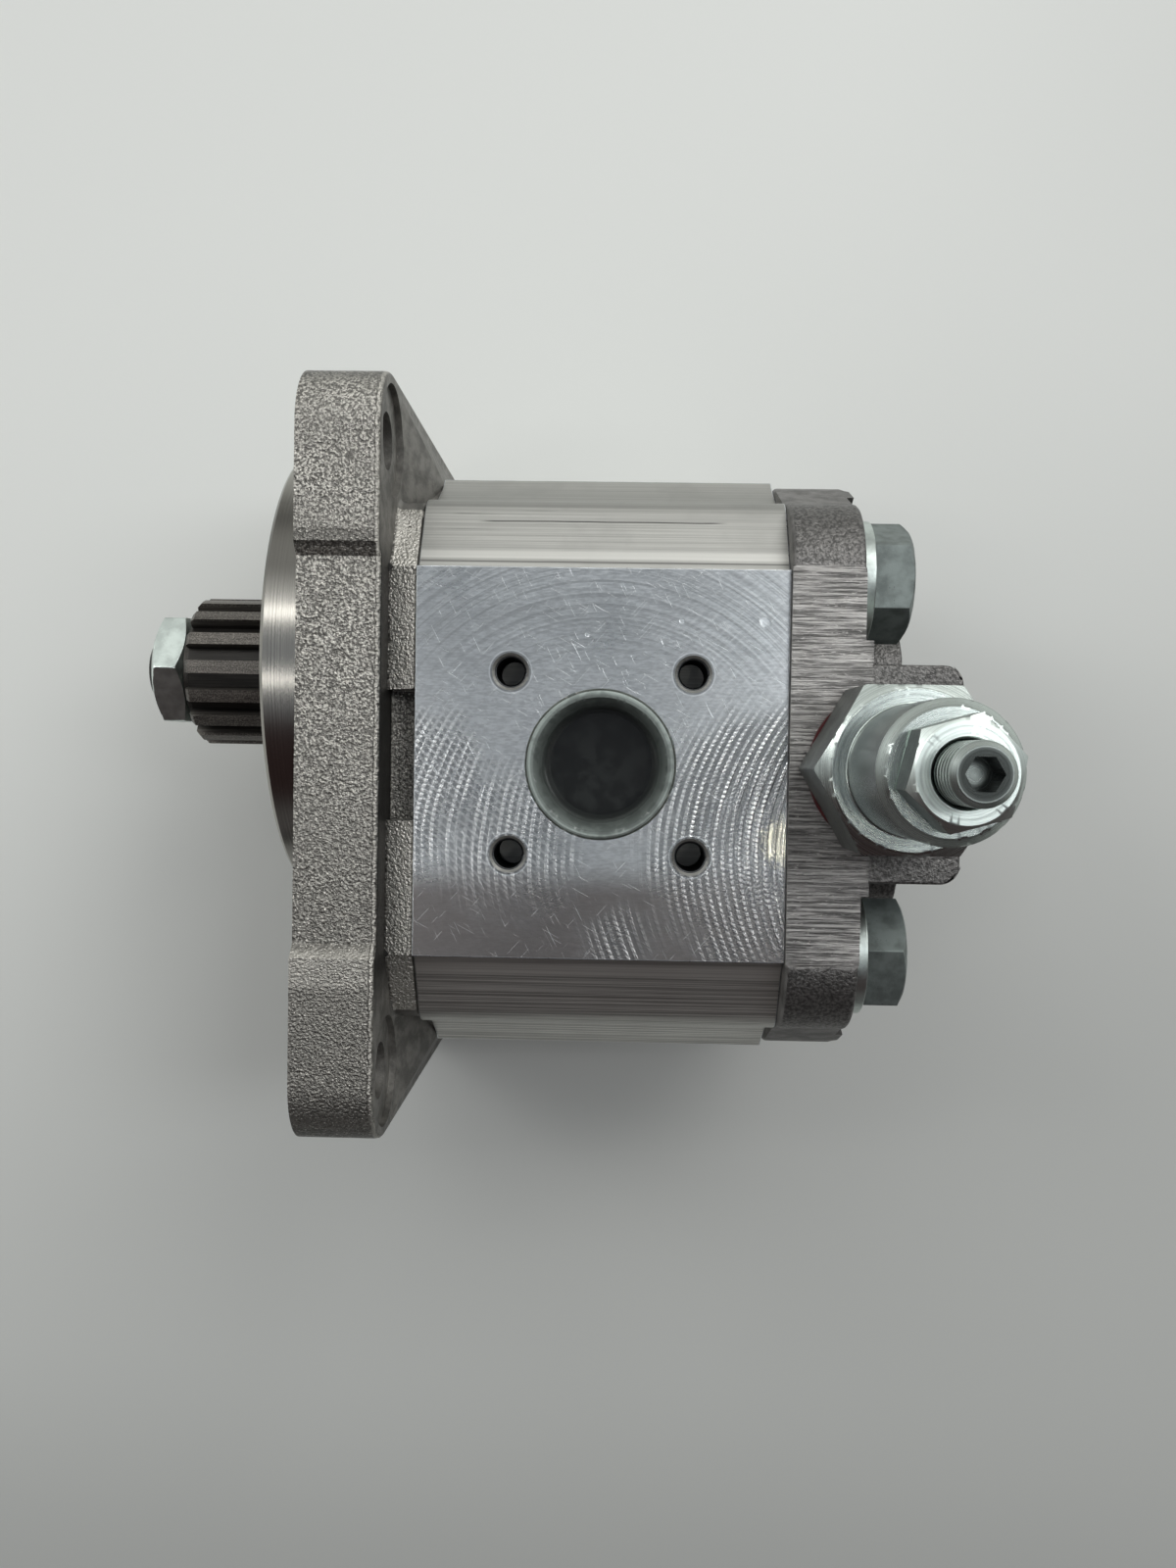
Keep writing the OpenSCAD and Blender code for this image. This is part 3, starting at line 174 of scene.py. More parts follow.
class Value:
    """A socket in a finish. An expression on it adds the Math nodes it needs."""

    __add__, __radd__ = arithmetic("ADD"), arithmetic("ADD", True)
    __sub__, __rsub__ = arithmetic("SUBTRACT"), arithmetic("SUBTRACT", True)
    __mul__, __rmul__ = arithmetic("MULTIPLY"), arithmetic("MULTIPLY", True)
    __truediv__, __pow__ = arithmetic("DIVIDE"), arithmetic("POWER")
    over = arithmetic("MAXIMUM")

    def __init__(self, finish, socket):
        self.finish = finish
        self.socket = socket

    def __abs__(self):
        return self.maths("ABSOLUTE", self)

    def maths(self, operation, *values):
        """One Math node on some values."""
        return self.finish.add("ShaderNodeMath", {"operation": operation}, dict(enumerate(values)))

    def root(self):
        """The square root."""
        return self.maths("SQRT", self)

    def step(self, start, end):
        """A smooth step from 0 to 1 as the value goes from start to end, up or down."""
        low, high = min(start, end), max(start, end)
        return self.finish.add(
            "ShaderNodeMapRange", {"interpolation_type": "SMOOTHSTEP"},
            {"Value": self, "From Min": low, "From Max": high,
             "To Min": float(start > end), "To Max": float(start < end)},
        )

    def wave(self, pitch):
        """From 0 to 1 and back, once in every pitch."""
        return 0.5 + 0.5 * self.maths("SINE", self * (math.tau / pitch))

    def within(self, middle, half, soft=0.2):
        """1 where the value lies within half of the middle, and 0 beyond."""
        return abs(self - middle).step(half + soft, half - soft)


class Nodes:
    """A node tree in the making, and one method that adds any node."""

    def __init__(self, tree):
        self.tree = tree

    def give(self, node, key, value):
        """Links a value to a socket of a node, or sets the socket to a plain number."""
        if isinstance(value, Value):
            self.tree.links.new(value.socket, node.inputs[key])
        else:
            node.inputs[key].default_value = value

    def add(self, kind, settings=None, sockets=None, out=0):
        """Adds a node with its settings and sockets, and gives back one of its outputs."""
        node = self.tree.nodes.new(kind)
        for name, value in (settings or {}).items():
            setattr(node, name, value)
        for key, value in (sockets or {}).items():
            self.give(node, key, value)
        return Value(self, node.outputs[out])

    def mix(self, share, first, second):
        """Two colours or sockets mixed; plain colours are given as three numbers."""
        sides = [c if isinstance(c, Value) else (*c, 1.0) for c in (first, second)]
        return self.add(
            "ShaderNodeMix", {"data_type": "RGBA", "clamp_factor": True},
            {0: share, 6: sides[0], 7: sides[1]}, 2,
        )

    def toned(self, colour, share, first, second, *layers):
        """A colour between two of its tones, under layers of (share, a tone or another colour)."""
        tone = self.mix(share, scaled(colour, first), scaled(colour, second))
        for part, over in layers:
            tone = self.mix(part, tone, over if isinstance(over, tuple) else scaled(colour, over))
        return tone


class Finish(Nodes):
    """A material in the making, with the places and patterns that finishes use."""

    def __init__(self, name, fixed):
        self.material = bpy.data.materials.new(name)
        self.material.use_nodes = True
        super().__init__(self.material.node_tree)
        self.shader = self.tree.nodes["Principled BSDF"]
        for key, value in fixed.items():
            self.give(self.shader, key, value)
        place = self.add("ShaderNodeTexCoord", out="Object")
        scale = {0: place, "Scale": 1 / MM}
        self.mm = self.add("ShaderNodeVectorMath", {"operation": "SCALE"}, scale)
        self.x = self.add("ShaderNodeSeparateXYZ", {}, {0: self.mm}, "X")
        split = self.x.socket.node
        self.y = Value(self, split.outputs["Y"])
        self.z = Value(self, split.outputs["Z"])

    def vector(self, x, y, z):
        """Three values as one place."""
        return self.add("ShaderNodeCombineXYZ", {}, {0: x, 1: y, 2: z})

    def noise(self, place, per_mm=1.0, detail=3.0, roughness=0.55):
        """Soft noise between 0 and 1."""
        return self.add(
            "ShaderNodeTexNoise", {},
            {"Vector": place, "Scale": per_mm, "Detail": detail, "Roughness": roughness},
        )

    def streaks(self, per_mm, detail=3.0, roughness=0.55, place=None):
        """Soft noise with its own number of waves in a millimetre along each axis."""
        place = self.mm if place is None else place
        sockets = {0: place, 1: per_mm}
        place = self.add("ShaderNodeVectorMath", {"operation": "MULTIPLY"}, sockets)
        return self.noise(place, 1.0, detail, roughness)

    def cells(self, place, per_mm):
        """Distance from the nearest of many scattered points."""
        return self.add("ShaderNodeTexVoronoi", {}, {"Vector": place, "Scale": per_mm}, "Distance")

    def reach(self, centre_mm):
        """Distance from an axis along Z."""
        return ((self.x - centre_mm[0]) ** 2.0 + (self.y - centre_mm[1]) ** 2.0).root()

    def rings(self, centre_mm, per_mm, seed=0.0, detail=2.0):
        """Distance from an axis along Z, and fine rings round it."""
        reach = self.reach(centre_mm)
        return reach, self.noise(self.vector(reach * per_mm, seed, 0.0), 1.0, detail, 0.7)

    def spot(self, x, y, radius):
        """1 on a small ragged mark of a face along Z, and 0 off it."""
        ragged = 0.9 * radius * self.noise(self.mm, 1.6, 2.0)
        return (self.reach((x, y)) + ragged).step(radius * 1.5, radius)

    def wear(self, tone, rough, height, depth_mm):
        """Gives the shader its colour, roughness and bump, and gives back the material."""
        sockets = {"Height": height, "Distance": depth_mm * MM, "Strength": 1.0}
        self.give(self.shader, "Base Color", tone)
        self.give(self.shader, "Roughness", rough)
        self.give(self.shader, "Normal", self.add("ShaderNodeBump", {}, sockets))
        return self.material


def scaled(colour, factor):
    """A colour made lighter or darker, and never past white."""
    return tuple(min(1.0, c * factor) for c in colour)


def cast_grain(f, per_mm=1.0):
    """Height of a blasted skin: pebbles under a millimetre across, with finer grit on them."""
    wander = f.add("ShaderNodeTexNoise", {}, {"Vector": f.mm, "Scale": 0.9, "Detail": 1.0}, "Color")
    place = f.add("ShaderNodeMix", {"data_type": "VECTOR"}, {0: 0.22, 4: f.mm, 5: wander}, 1)
    pebbles = f.cells(place, 1.7 * per_mm)
    grain = f.noise(f.mm, 2.1 * per_mm, 2.0, 0.6)
    return grain + 0.35 * (1.0 - pebbles)


def blasted_iron(name, colour, seam_mm, per_mm=1.0, depth_mm=0.34):
    """Coarse as-cast grain, blasted bright on its tops, with a ragged seam near one edge."""
    f = Finish(name, {"Metallic": 0.92})
    height = cast_grain(f, per_mm)
    broad = f.noise(f.mm, 0.09, 2.0)
    speck = f.noise(f.mm, 2.6 * per_mm, 1.0)
    pits = f.noise(f.mm, 0.8 * per_mm, 2.0)
    ragged = f.streaks((0.0, 0.7, 0.7), 3.0)
    seam = abs(f.x - (seam_mm - 0.5) - ragged).step(0.42, 0.2)
    # Painted shade darkening the flange toward -Y
    low = f.y.step(10.0, -60.0)
    # Painted light on the neck behind the flange, painted shade in the pocket between its pads and a
    # painted shadow line in it
    neck = f.x.step(NECK_X, NECK_X + 0.4)
    pocket = f.y.within(POCKET_Y, POCKET_HALF) * neck
    painted_pocket_shade = pocket * 0.3 + neck * f.y.within(-5.5, 0.6) * 0.45
    # Painted shade in the upper step of the flange, painted light on the lower step, and painted
    # shade on the ends that turn away
    from_step = f.y - UPPER_STEP_Y + 0.8 * ragged
    painted_step_shade = from_step.step(-1.6, -0.6) * from_step.step(1.9, 0.7)
    worn_and_painted_light = (f.y - LOWER_STEP_Y).step(0.6, -0.6) * (f.y - LOWER_STEP_Y + 5.4).step(-0.8, 0.8)
    ends = f.y.step(41.0, 43.6) * 0.55 + f.y.step(-72.0, -74.5) * 0.8
    tone = f.toned(
        colour, height.step(0.56, 0.86), 0.4, 1.8,
        (low * 0.75, 0.5), (neck * (1.0 - pocket) * 0.8, 2.0), (painted_pocket_shade, 0.12),
        (worn_and_painted_light * 0.5, 1.7), ((painted_step_shade * 0.6 + ends) * (1.0 - neck), 0.12),
        (speck.step(0.62, 0.70) * 0.8, 2.2), (pits.step(0.33, 0.26) * 0.85, 0.2),
        (f.spot(8.4, 29.8, 0.8) * 0.8, 0.3), (broad.step(0.35, 0.65) * 0.3, 0.75),
        (seam * 0.5, 1.7),
    )
    return f.wear(tone, 0.28 + 0.12 * speck + 0.08 * broad, height + 1.2 * seam, depth_mm)


def smooth_cast(name, colour, crease_mm=None):
    """Fine skin of a casting that was only cleaned, with painted shade in a crease across X."""
    f = Finish(name, {"Metallic": 0.55})
    fine = f.noise(f.mm, 3.2, 3.0)
    mottle = f.noise(f.mm, 0.32, 4.0, 0.6)
    layers = [(fine.step(0.6, 0.72) * 0.5, 1.7)]
    if crease_mm:
        # Painted shade in the crease
        edge = f.x + 0.5 * f.noise(f.mm, 0.8, 2.0)
        painted_crease_shade = edge.within(crease_mm, 0.6, 0.3) * f.y.within(-16.5, 34.0, 3.0)
        layers.append((painted_crease_shade * 0.9, 0.06))
    tone = f.toned(colour, mottle.step(0.36, 0.64), 0.55, 1.05, *layers)
    return f.wear(tone, 0.42 + 0.2 * fine, fine + 1.5 * mottle, 0.05)


def turned(name, colour, axis, centre_mm, rough=0.26, depth_mm=0.012, black_to=None, painted_shade=None):
    """Fine rings round an axis, as a lathe leaves them.

    The part is oiled black up to black_to along its axis. Painted shade darkens its upper
    front between two heights along Y, when these are given.
    """
    f = Finish(name, {"Metallic": 1.0})
    parts = {"x": f.x, "y": f.y, "z": f.z}
    along = parts.pop(axis)
    (a, b), (ca, cb) = parts.values(), centre_mm
    radius = ((a - ca) ** 2.0 + (b - cb) ** 2.0).root()
    rings = f.noise(f.vector(radius * 3.5, along * 3.5, 0.0), 1.0, 3.0, 0.7)
    broad = f.noise(f.vector(radius * 0.7, along * 0.7, 0.0), 1.0, 2.0)
    stains = f.noise(f.mm, 0.12, 3.0)
    layers = [(stains.step(0.5, 0.8) * 0.3, 0.7)]
    # Painted shade on the upper front
    if painted_shade:
        layers.append((f.y.step(*painted_shade) * f.z.step(22.0, 34.0) * 0.8, 0.25))
    if black_to is not None:
        layers.append((along.step(black_to + 0.4, black_to), (0.012, 0.011, 0.011)))
    tone = f.toned(colour, rings.step(0.35, 0.65), 0.8, 1.08, *layers)
    return f.wear(tone, rough + 0.1 * rings, rings + 0.4 * broad, depth_mm)


def threaded(name, colour, pitch_mm):
    """Side of a plated thread along Z, its grooves too fine to be cut here."""
    f = Finish(name, {"Metallic": 1.0})
    groove = f.add(
        "ShaderNodeTexWave", {"bands_direction": "Z", "wave_profile": "TRI"},
        {"Vector": f.mm, "Scale": math.tau / (20.0 * pitch_mm)}, "Fac",
    )
    fine = f.noise(f.mm, 3.0, 2.0)
    # Painted shade in the grooves of the thread
    tone = f.toned(colour, groove.step(0.1, 0.5), 0.15, 0.95)
    return f.wear(tone, 0.22 + 0.15 * fine, groove, 0.35)


def drawn(name, colour, scratch=None):
    """Long fine lines along the extrusion, with a few dark scratches."""
    f = Finish(name, {"Metallic": 1.0})
    lines = f.streaks((0.012, 3.4, 3.4), 4.0, 0.75)
    broad = f.streaks((0.006, 0.45, 0.45), 2.0)
    dull = f.noise(f.mm, 0.12, 3.0)
    nicks = f.streaks((0.05, 5.0, 5.0), 1.0)
    # Painted highlights along the edges of the port face's strip, and a painted shade line beside
    # the upper one
    edges = sum(f.y.within(*edge) for edge in PAINTED_HIGHLIGHT_EDGES)
    layers = [
        (nicks.step(0.74, 0.8) * 0.8, 0.25), (dull.step(0.5, 0.7) * 0.25, 0.7),
        # Painted highlights on the lines of the lower lobe, and painted shade over the upper lobe
        (f.y.step(-44.0, -52.0) * lines.step(0.45, 0.58) * 0.7, 1.8),
        (f.y.step(24.8, 25.4) * f.z.step(8.0, 20.0) * 0.4, 0.4),
        (edges * 0.6, 1.6), (f.y.within(*PAINTED_SHADE_EDGE) * 0.7, 0.2),
    ]
    if scratch:
        at_y, start, end = scratch
        off = abs(f.y - at_y + 0.3 * f.streaks((0.06, 0.0, 0.0), 2.0))
        cut = off.step(0.16, 0.05) * f.x.step(start, start + 3.0) * f.x.step(end, end - 3.0)
        layers.append((cut * f.z.step(0.0, 1.0) * 0.85, 0.1))
    tone = f.toned(colour, lines.step(0.36, 0.64), 0.8, 1.08, *layers)
    return f.wear(tone, 0.34 + 0.2 * lines + 0.08 * dull, 1.4 * lines + 2.5 * broad, 0.018)


def fly_cut(name, colour, bolts_mm):
    """Port face: cutter's rings and beaded arcs, handling marks, painted glints and shade."""
    f = Finish(name, {"Metallic": 1.0})
    across = f.y - PORT_Y
    patch = f.noise(f.mm, 0.055, 2.0)
    wander = f.noise(f.mm, 0.05, 1.0)
    ragged = 9.0 * (patch + f.noise(f.mm, 0.2, 2.0))
    _, rings = f.rings((PORT_X, PORT_Y - 8.0), 1.3, 3.0)
    # Arcs of the cutter, broken into beads, with a second pass across them on the left
    trail = f.x - (f.y + 30.0) ** 2.0 * (1 / 68.0) + 1.5 * wander
    strong = f.noise(f.vector(trail * 0.75, f.y * 0.06, 7.0), 1.0, 3.0, 0.7).step(0.38, 0.6)
    beads = (f.y + 0.35 * f.x + 0.4 * strong).wave(0.8).step(0.1, 0.6)
    crossing = (f.y * 0.75 + 0.66 * f.x + 1.2 * wander).wave(1.05).step(0.5, 0.95)
    cuts = trail.wave(1.3).step(0.35, 0.9) * (0.3 + 0.7 * strong)
    cuts = cuts.over(crossing * f.x.step(44.0, 36.0) * 0.4)
    # Zones of painted glints on the cuts, with painted shade between them
    painted_glare = 0.0
    for x, y, inner, outer, strength in PAINTED_GLARES:
        part = (f.reach((x, y)) + ragged).step(outer + 9.0, inner + 9.0) * strength
        painted_glare = part.over(painted_glare)
    painted_glare_zone = painted_glare.step(0.0, 0.5)
    cuts = cuts.over(painted_glare.step(0.8, 1.0) * 0.4 * strong)
    upper = across.step(8.0, 24.0)
    # Weak painted glints on the cuts at the upper right
    faint_painted_glints = across.step(-14.0, 0.0) * f.x.step(50.0, 60.0) * 0.14
    fine = f.streaks((0.9, 3.6, 1.0), 2.0)
    smear = f.streaks((0.035, 0.09, 1.0), 3.0)
    scratches = scratched(f)
    front = f.z.step(0.0, 1.0)
    painted_glow = f.spot(*PAINTED_GLOW) * front
    chips = sum(f.spot(*chip) for chip in CHIPS)
    # The broken edge round each of the four threads, with painted rims of shade and highlight
    off_x, off_y = abs(f.x - PORT_X) - bolts_mm / 2, abs(across) - bolts_mm / 2
    from_bolt = (off_x ** 2.0 + off_y ** 2.0).root()
    # Painted glints on the cuts with painted shade between them, painted shade over the lower part,
    # a painted highlight spot and painted rims round the threads
    tone = f.toned(
        colour, fine.step(0.35, 0.65), 0.86, 1.06,
        (upper * rings.step(0.5, 0.6) * 0.4, 0.5),
        (painted_glare_zone * (1.0 - cuts) * 0.7, 0.34),
        (faint_painted_glints * cuts, 1.8),
        (painted_glare_zone * cuts * (0.35 + 0.65 * beads), (1.0, 1.0, 1.0)),
        (smear.step(0.5, 0.66) * 0.3, 0.6),
        (across.step(-14.0, -21.0) * 0.85 * (1.0 - 0.6 * painted_glare), (0.2, 0.175, 0.165)),
        (scratches * 0.4, 1.4),
        (painted_glow * 0.55, (1.0, 0.96, 0.78)),
        (from_bolt.within(*PAINTED_SHADE_RIM) * 0.6, 0.3),
        (from_bolt.within(*PAINTED_HIGHLIGHT_RIM) * 0.5, 1.5),
        (chips * front * 0.7, 1.3),
    )
    rough = 0.2 + 0.12 * patch + 0.08 * fine - 0.06 * painted_glare - 0.07 * painted_glow
    height = (0.2 + 0.5 * upper) * rings * (1.0 - painted_glare_zone) + (0.7 + 0.9 * beads) * cuts * painted_glare
    return f.wear(tone, rough, height + 0.05 * fine - 0.25 * scratches - 0.4 * chips, 0.06)


def scratched(f):
    """Thin straight scratches in a few directions."""
    total = 0.0
    for turn, seed in ((0.5, 11.0), (1.1, 23.0), (2.3, 37.0)):
        place = f.add(
            "ShaderNodeMapping", {},
            {"Vector": f.mm, "Location": (seed, seed, 0.0), "Rotation": (0.0, 0.0, turn)},
        )
        total = total + f.streaks((0.16, 5.0, 0.05), 1.0, place=place).step(0.70, 0.76)
    return total


def milled_iron(name, colour, half_mm, back_mm):
    """Cast skin, dragged into rough streaks where the sides were milled flat."""
    f = Finish(name, {"Metallic": 0.8})
    lines = f.streaks((0.1, 2.5, 2.5), 4.0, 0.75)
    fine = f.streaks((0.8, 3.4, 3.4), 3.0, 0.6)
    broad = f.streaks((0.05, 0.3, 0.3), 2.0)
    grain = cast_grain(f, 1.15)
    ragged = 1.6 * f.noise(f.mm, 0.5, 2.0)
    across = abs(f.y - PORT_Y) + ragged
    milled = across.step(half_mm + 1.3, half_mm + 0.3) * (f.x + ragged).step(back_mm + 1.2, back_mm)
    cut = f.toned(
        colour, lines.step(0.4, 0.62), 0.35, 1.75,
        (fine.step(0.6, 0.7) * 0.6, 2.3), (broad.step(0.45, 0.65) * 0.3, 0.7),
    )
    cast = f.toned(colour, grain.step(0.5, 0.85), 0.3, 0.68, (fine.step(0.66, 0.74) * 0.5, 2.0))
    height = (lines + 0.3 * fine) * milled + grain * (1.0 - milled)
    return f.wear(f.mix(milled, cast, cut), 0.32 + 0.2 * fine, height, 0.16)


def cupped(name, colour, centre_mm):
    """End of a socket screw: a painted highlight on the floor and rim, and painted shade in a ring
    between them.
    """
    f = Finish(name, {"Metallic": 1.0})
    reach, rings = f.rings(centre_mm, 3.0)
    tone = f.toned(
        colour, reach.step(0.7, 1.7), 0.5, 0.1,
        (reach.step(2.9, 3.4), 0.9), (rings.step(0.5, 0.65) * 0.3, 0.3),
    )
    return f.wear(tone, 0.22 + 0.12 * rings, rings, 0.01)


def flaked(name, colour):
    """Dull zinc-flake coat with dark pinholes and small bright flecks."""
    f = Finish(name, {"Metallic": 0.55})
    specks = f.cells(f.mm, 1.1)
    fine = f.noise(f.mm, 5.0, 2.0)
    cloud = f.noise(f.mm, 0.3, 3.0)
    tone = f.toned(
        colour, cloud.step(0.35, 0.65), 0.8, 1.35,
        (specks.step(0.12, 0.05) * 0.7, 0.3), (fine.step(0.64, 0.74) * 0.3, 2.0),
    )
    return f.wear(tone, 0.42 + 0.15 * fine, fine, 0.02)


def plated(name, colour, rough=0.24):
    """Bright zinc with small dents and slight clouding."""
    f = Finish(name, {"Metallic": 1.0})
    cloud = f.noise(f.mm, 0.3, 3.0)
    fine = f.noise(f.mm, 2.6, 3.0)
    dents = f.noise(f.mm, 0.7, 1.0)
    tone = f.toned(colour, cloud.step(0.35, 0.65), 0.8, 1.12, (fine.step(0.62, 0.74) * 0.4, 0.6))
    return f.wear(tone, rough + 0.2 * fine, fine + 2.0 * dents, 0.012)


def phosphated(name, colour):
    """Dark phosphate, worn pale on the lands, with painted shade making it nearly black in the
    grooves.
    """
    f = Finish(name, {"Metallic": 0.6})
    fine = f.noise(f.mm, 4.0, 3.0)
    lines = f.streaks((0.12, 3.2, 3.2), 2.0)
    reach = (f.y ** 2.0 + f.z ** 2.0).root()
    worn_and_painted_light = reach.step(12.7, 13.3) * fine.step(0.4, 0.7)
    # Painted shade in the grooves
    tone = f.toned(
        colour, lines.step(0.4, 0.65), 0.7, 1.3,
        (worn_and_painted_light * 0.55, 3.6), (reach.step(12.4, 11.6) * 0.85, 0.12),
    )
    return f.wear(tone, 0.30 + 0.16 * fine, 0.5 * lines + fine, 0.01)


def rubber(name, colour):
    """Moulded rubber, slightly clouded."""
    f = Finish(name, {"Metallic": 0.0, "Specular IOR Level": 0.4})
    fine = f.noise(f.mm, 5.0, 2.0)
    cloud = f.noise(f.mm, 0.6, 2.0)
    return f.wear(f.toned(colour, cloud, 0.8, 1.3), 0.42 + 0.2 * fine, fine, 0.015)


def plastic(name, colour):
    """Hard moulded plastic, slightly hazy."""
    f = Finish(name, {"IOR": 1.51})
    fine = f.noise(f.mm, 2.5, 3.0)
    haze = f.noise(f.mm, 0.35, 3.0)
    tone = f.toned(colour, haze.step(0.35, 0.65), 0.85, 1.15)
    return f.wear(tone, 0.3 + 0.2 * haze, fine, 0.01)


def smoky_plastic(name, colour, floor_r, rim_r):
    """Clear moulded cup: a painted highlight at the rim, painted shade in rings down to a nearly
    black floor.
    """
    f = Finish(name, {"Transmission Weight": 0.35, "IOR": 1.51})
    reach, rings = f.rings((PORT_X, PORT_Y), 1.9, 5.0, 1.0)
    haze = f.noise(f.mm, 0.35, 3.0)
    fine = f.noise(f.mm, 2.5, 3.0)
    # Painted shade deepening toward a nearly black floor, a painted highlight at the rim, and haze
    # that also lays a soft painted reflection on the floor
    tone = f.toned(
        colour, reach.step(floor_r, rim_r), 0.12, 0.55,
        (rings.step(0.52, 0.6) * 0.5, 0.3), (reach.step(rim_r - 0.5, rim_r - 0.2), 0.9),
        (reach.step(floor_r + 0.1, floor_r - 0.2), 0.018), (haze.step(0.45, 0.6) * 0.35, 0.10),
    )
    return f.wear(tone, 0.12 + 0.14 * haze, fine + rings, 0.012)


# ---- shapes ----

# Two faces lie in one plane if the cosine between their normals is above this
SAME_PLANE = 0.99999
# Points closer than this are one, in metres
WELD = 0.00001


def only(obj):
    """Makes this the one selected and active object."""
    bpy.ops.object.select_all(action="DESELECT")
    obj.select_set(True)
    bpy.context.view_layer.objects.active = obj


def copy_of(node):
    """A copy of a CAD node, its triangles merged back into whole faces."""
    flat, any_shape = math.radians(0.3), math.radians(180.0)
    solid = frame["nodes"][node]
    obj = bpy.data.objects.new(node + "_dressed", solid.data.copy())
    bpy.context.scene.collection.objects.link(obj)
    obj.data.materials.clear()
    only(obj)
    bpy.ops.mesh.customdata_custom_splitnormals_clear()
    bpy.ops.object.mode_set(mode="EDIT")
    bpy.ops.mesh.select_all(action="SELECT")
    bpy.ops.mesh.remove_doubles(threshold=1e-6)
    bpy.ops.mesh.tris_convert_to_quads(face_threshold=flat, shape_threshold=any_shape)
    bpy.ops.object.mode_set(mode="OBJECT")
    return obj


def faces_of_edges(mesh):
    """For each edge, the faces beside it."""
    beside = [[] for _ in mesh.edges]
    for face in mesh.polygons:
        for loop in face.loop_indices:
            beside[mesh.loops[loop].edge_index].append(face)
    return beside


def flat_widths(mesh, beside):
    """For each face, the mean width of the flat patch that it belongs to."""
    width = {}
    for start in mesh.polygons:
        if start.index in width:
            continue
        patch, todo, rim, area = {start.index}, [start], 0.0, 0.0
        while todo:
            face = todo.pop()
            area += face.area
            for loop in face.loop_indices:
                edge = mesh.edges[mesh.loops[loop].edge_index]
                for other in beside[edge.index]:
                    if other.index == face.index:
                        continue
                    if face.normal.dot(other.normal) > SAME_PLANE:
                        if other.index not in patch:
                            patch.add(other.index)
                            todo.append(other)
                    else:
                        a, b = (mesh.vertices[i].co for i in edge.vertices)
                        rim += (a - b).length
        for index in patch:
            width[index] = 2.0 * area / max(rim, 1e-6)
    return width


def open_outside(obj, face):
    """True if nothing of the part lies in front of a face."""
    return not obj.ray_cast(face.center + face.normal * 1e-6, face.normal)[0]


def round_edges(obj, width, segments=2, pick=None, edge_finish=-1):
    """Rounds the outer sharp edges, where the faces and edges beside them leave room for it.

    pick gives the share of the width that an edge gets, from its middle in mm.
    """
    sharp, folded = 28.0, 170.0
    # Shares of a face's width, and of the way to the next edge, that a round may take
    of_face, of_way, aslant = 0.25, 0.45, 0.3
    mesh = obj.data
    weights = mesh.attributes.new("bevel_weight_edge", "FLOAT", "EDGE")
    beside = faces_of_edges(mesh)
    widths = flat_widths(mesh, beside)
    turns = [
        math.degrees(f[0].normal.angle(f[1].normal, 0.0)) if len(f) == 2 else 0.0 for f in beside
    ]
    lines = [mesh.vertices[e.vertices[1]].co - mesh.vertices[e.vertices[0]].co for e in mesh.edges]
    meeting = [[] for _ in mesh.vertices]
    for edge in mesh.edges:
        for vertex in edge.vertices:
            meeting[vertex].append(edge.index)
    for edge, faces in zip(mesh.edges, beside):
        line = lines[edge.index]
        middle = mesh.vertices[edge.vertices[0]].co + line / 2
        share = pick(middle / MM) if pick else 1.0
        if not sharp < turns[edge.index] < folded or not share:
            continue
        room = of_face * min(max(face.area / line.length, widths[face.index]) for face in faces)
        for vertex in edge.vertices:
            for other in meeting[vertex]:
                if other != edge.index and turns[other] > 1.0:
                    across = lines[other].cross(line).length / line.length
                    if across > aslant * lines[other].length:
                        room = min(room, of_way * across)
        if room > 0.9 * share * width and all(open_outside(obj, face) for face in faces):
            weights.data[edge.index].value = share
    modifier = obj.modifiers.new("rounds", "BEVEL")
    modifier.width = width
    modifier.segments = segments
    modifier.limit_method = "WEIGHT"
    modifier.use_clamp_overlap = False
    modifier.miter_outer = "MITER_ARC"
    modifier.material = edge_finish
    finish_modifier(obj, modifier)
    mend_flats(obj)


def flat_patch(start):
    """The faces that lie in one plane with this one, folded ones included."""
    patch, todo = {start}, [start]
    while todo:
        face = todo.pop()
        for edge in face.edges:
            for other in edge.link_faces:
                if other not in patch and abs(face.normal.dot(other.normal)) > SAME_PLANE:
                    patch.add(other)
                    todo.append(other)
    return patch


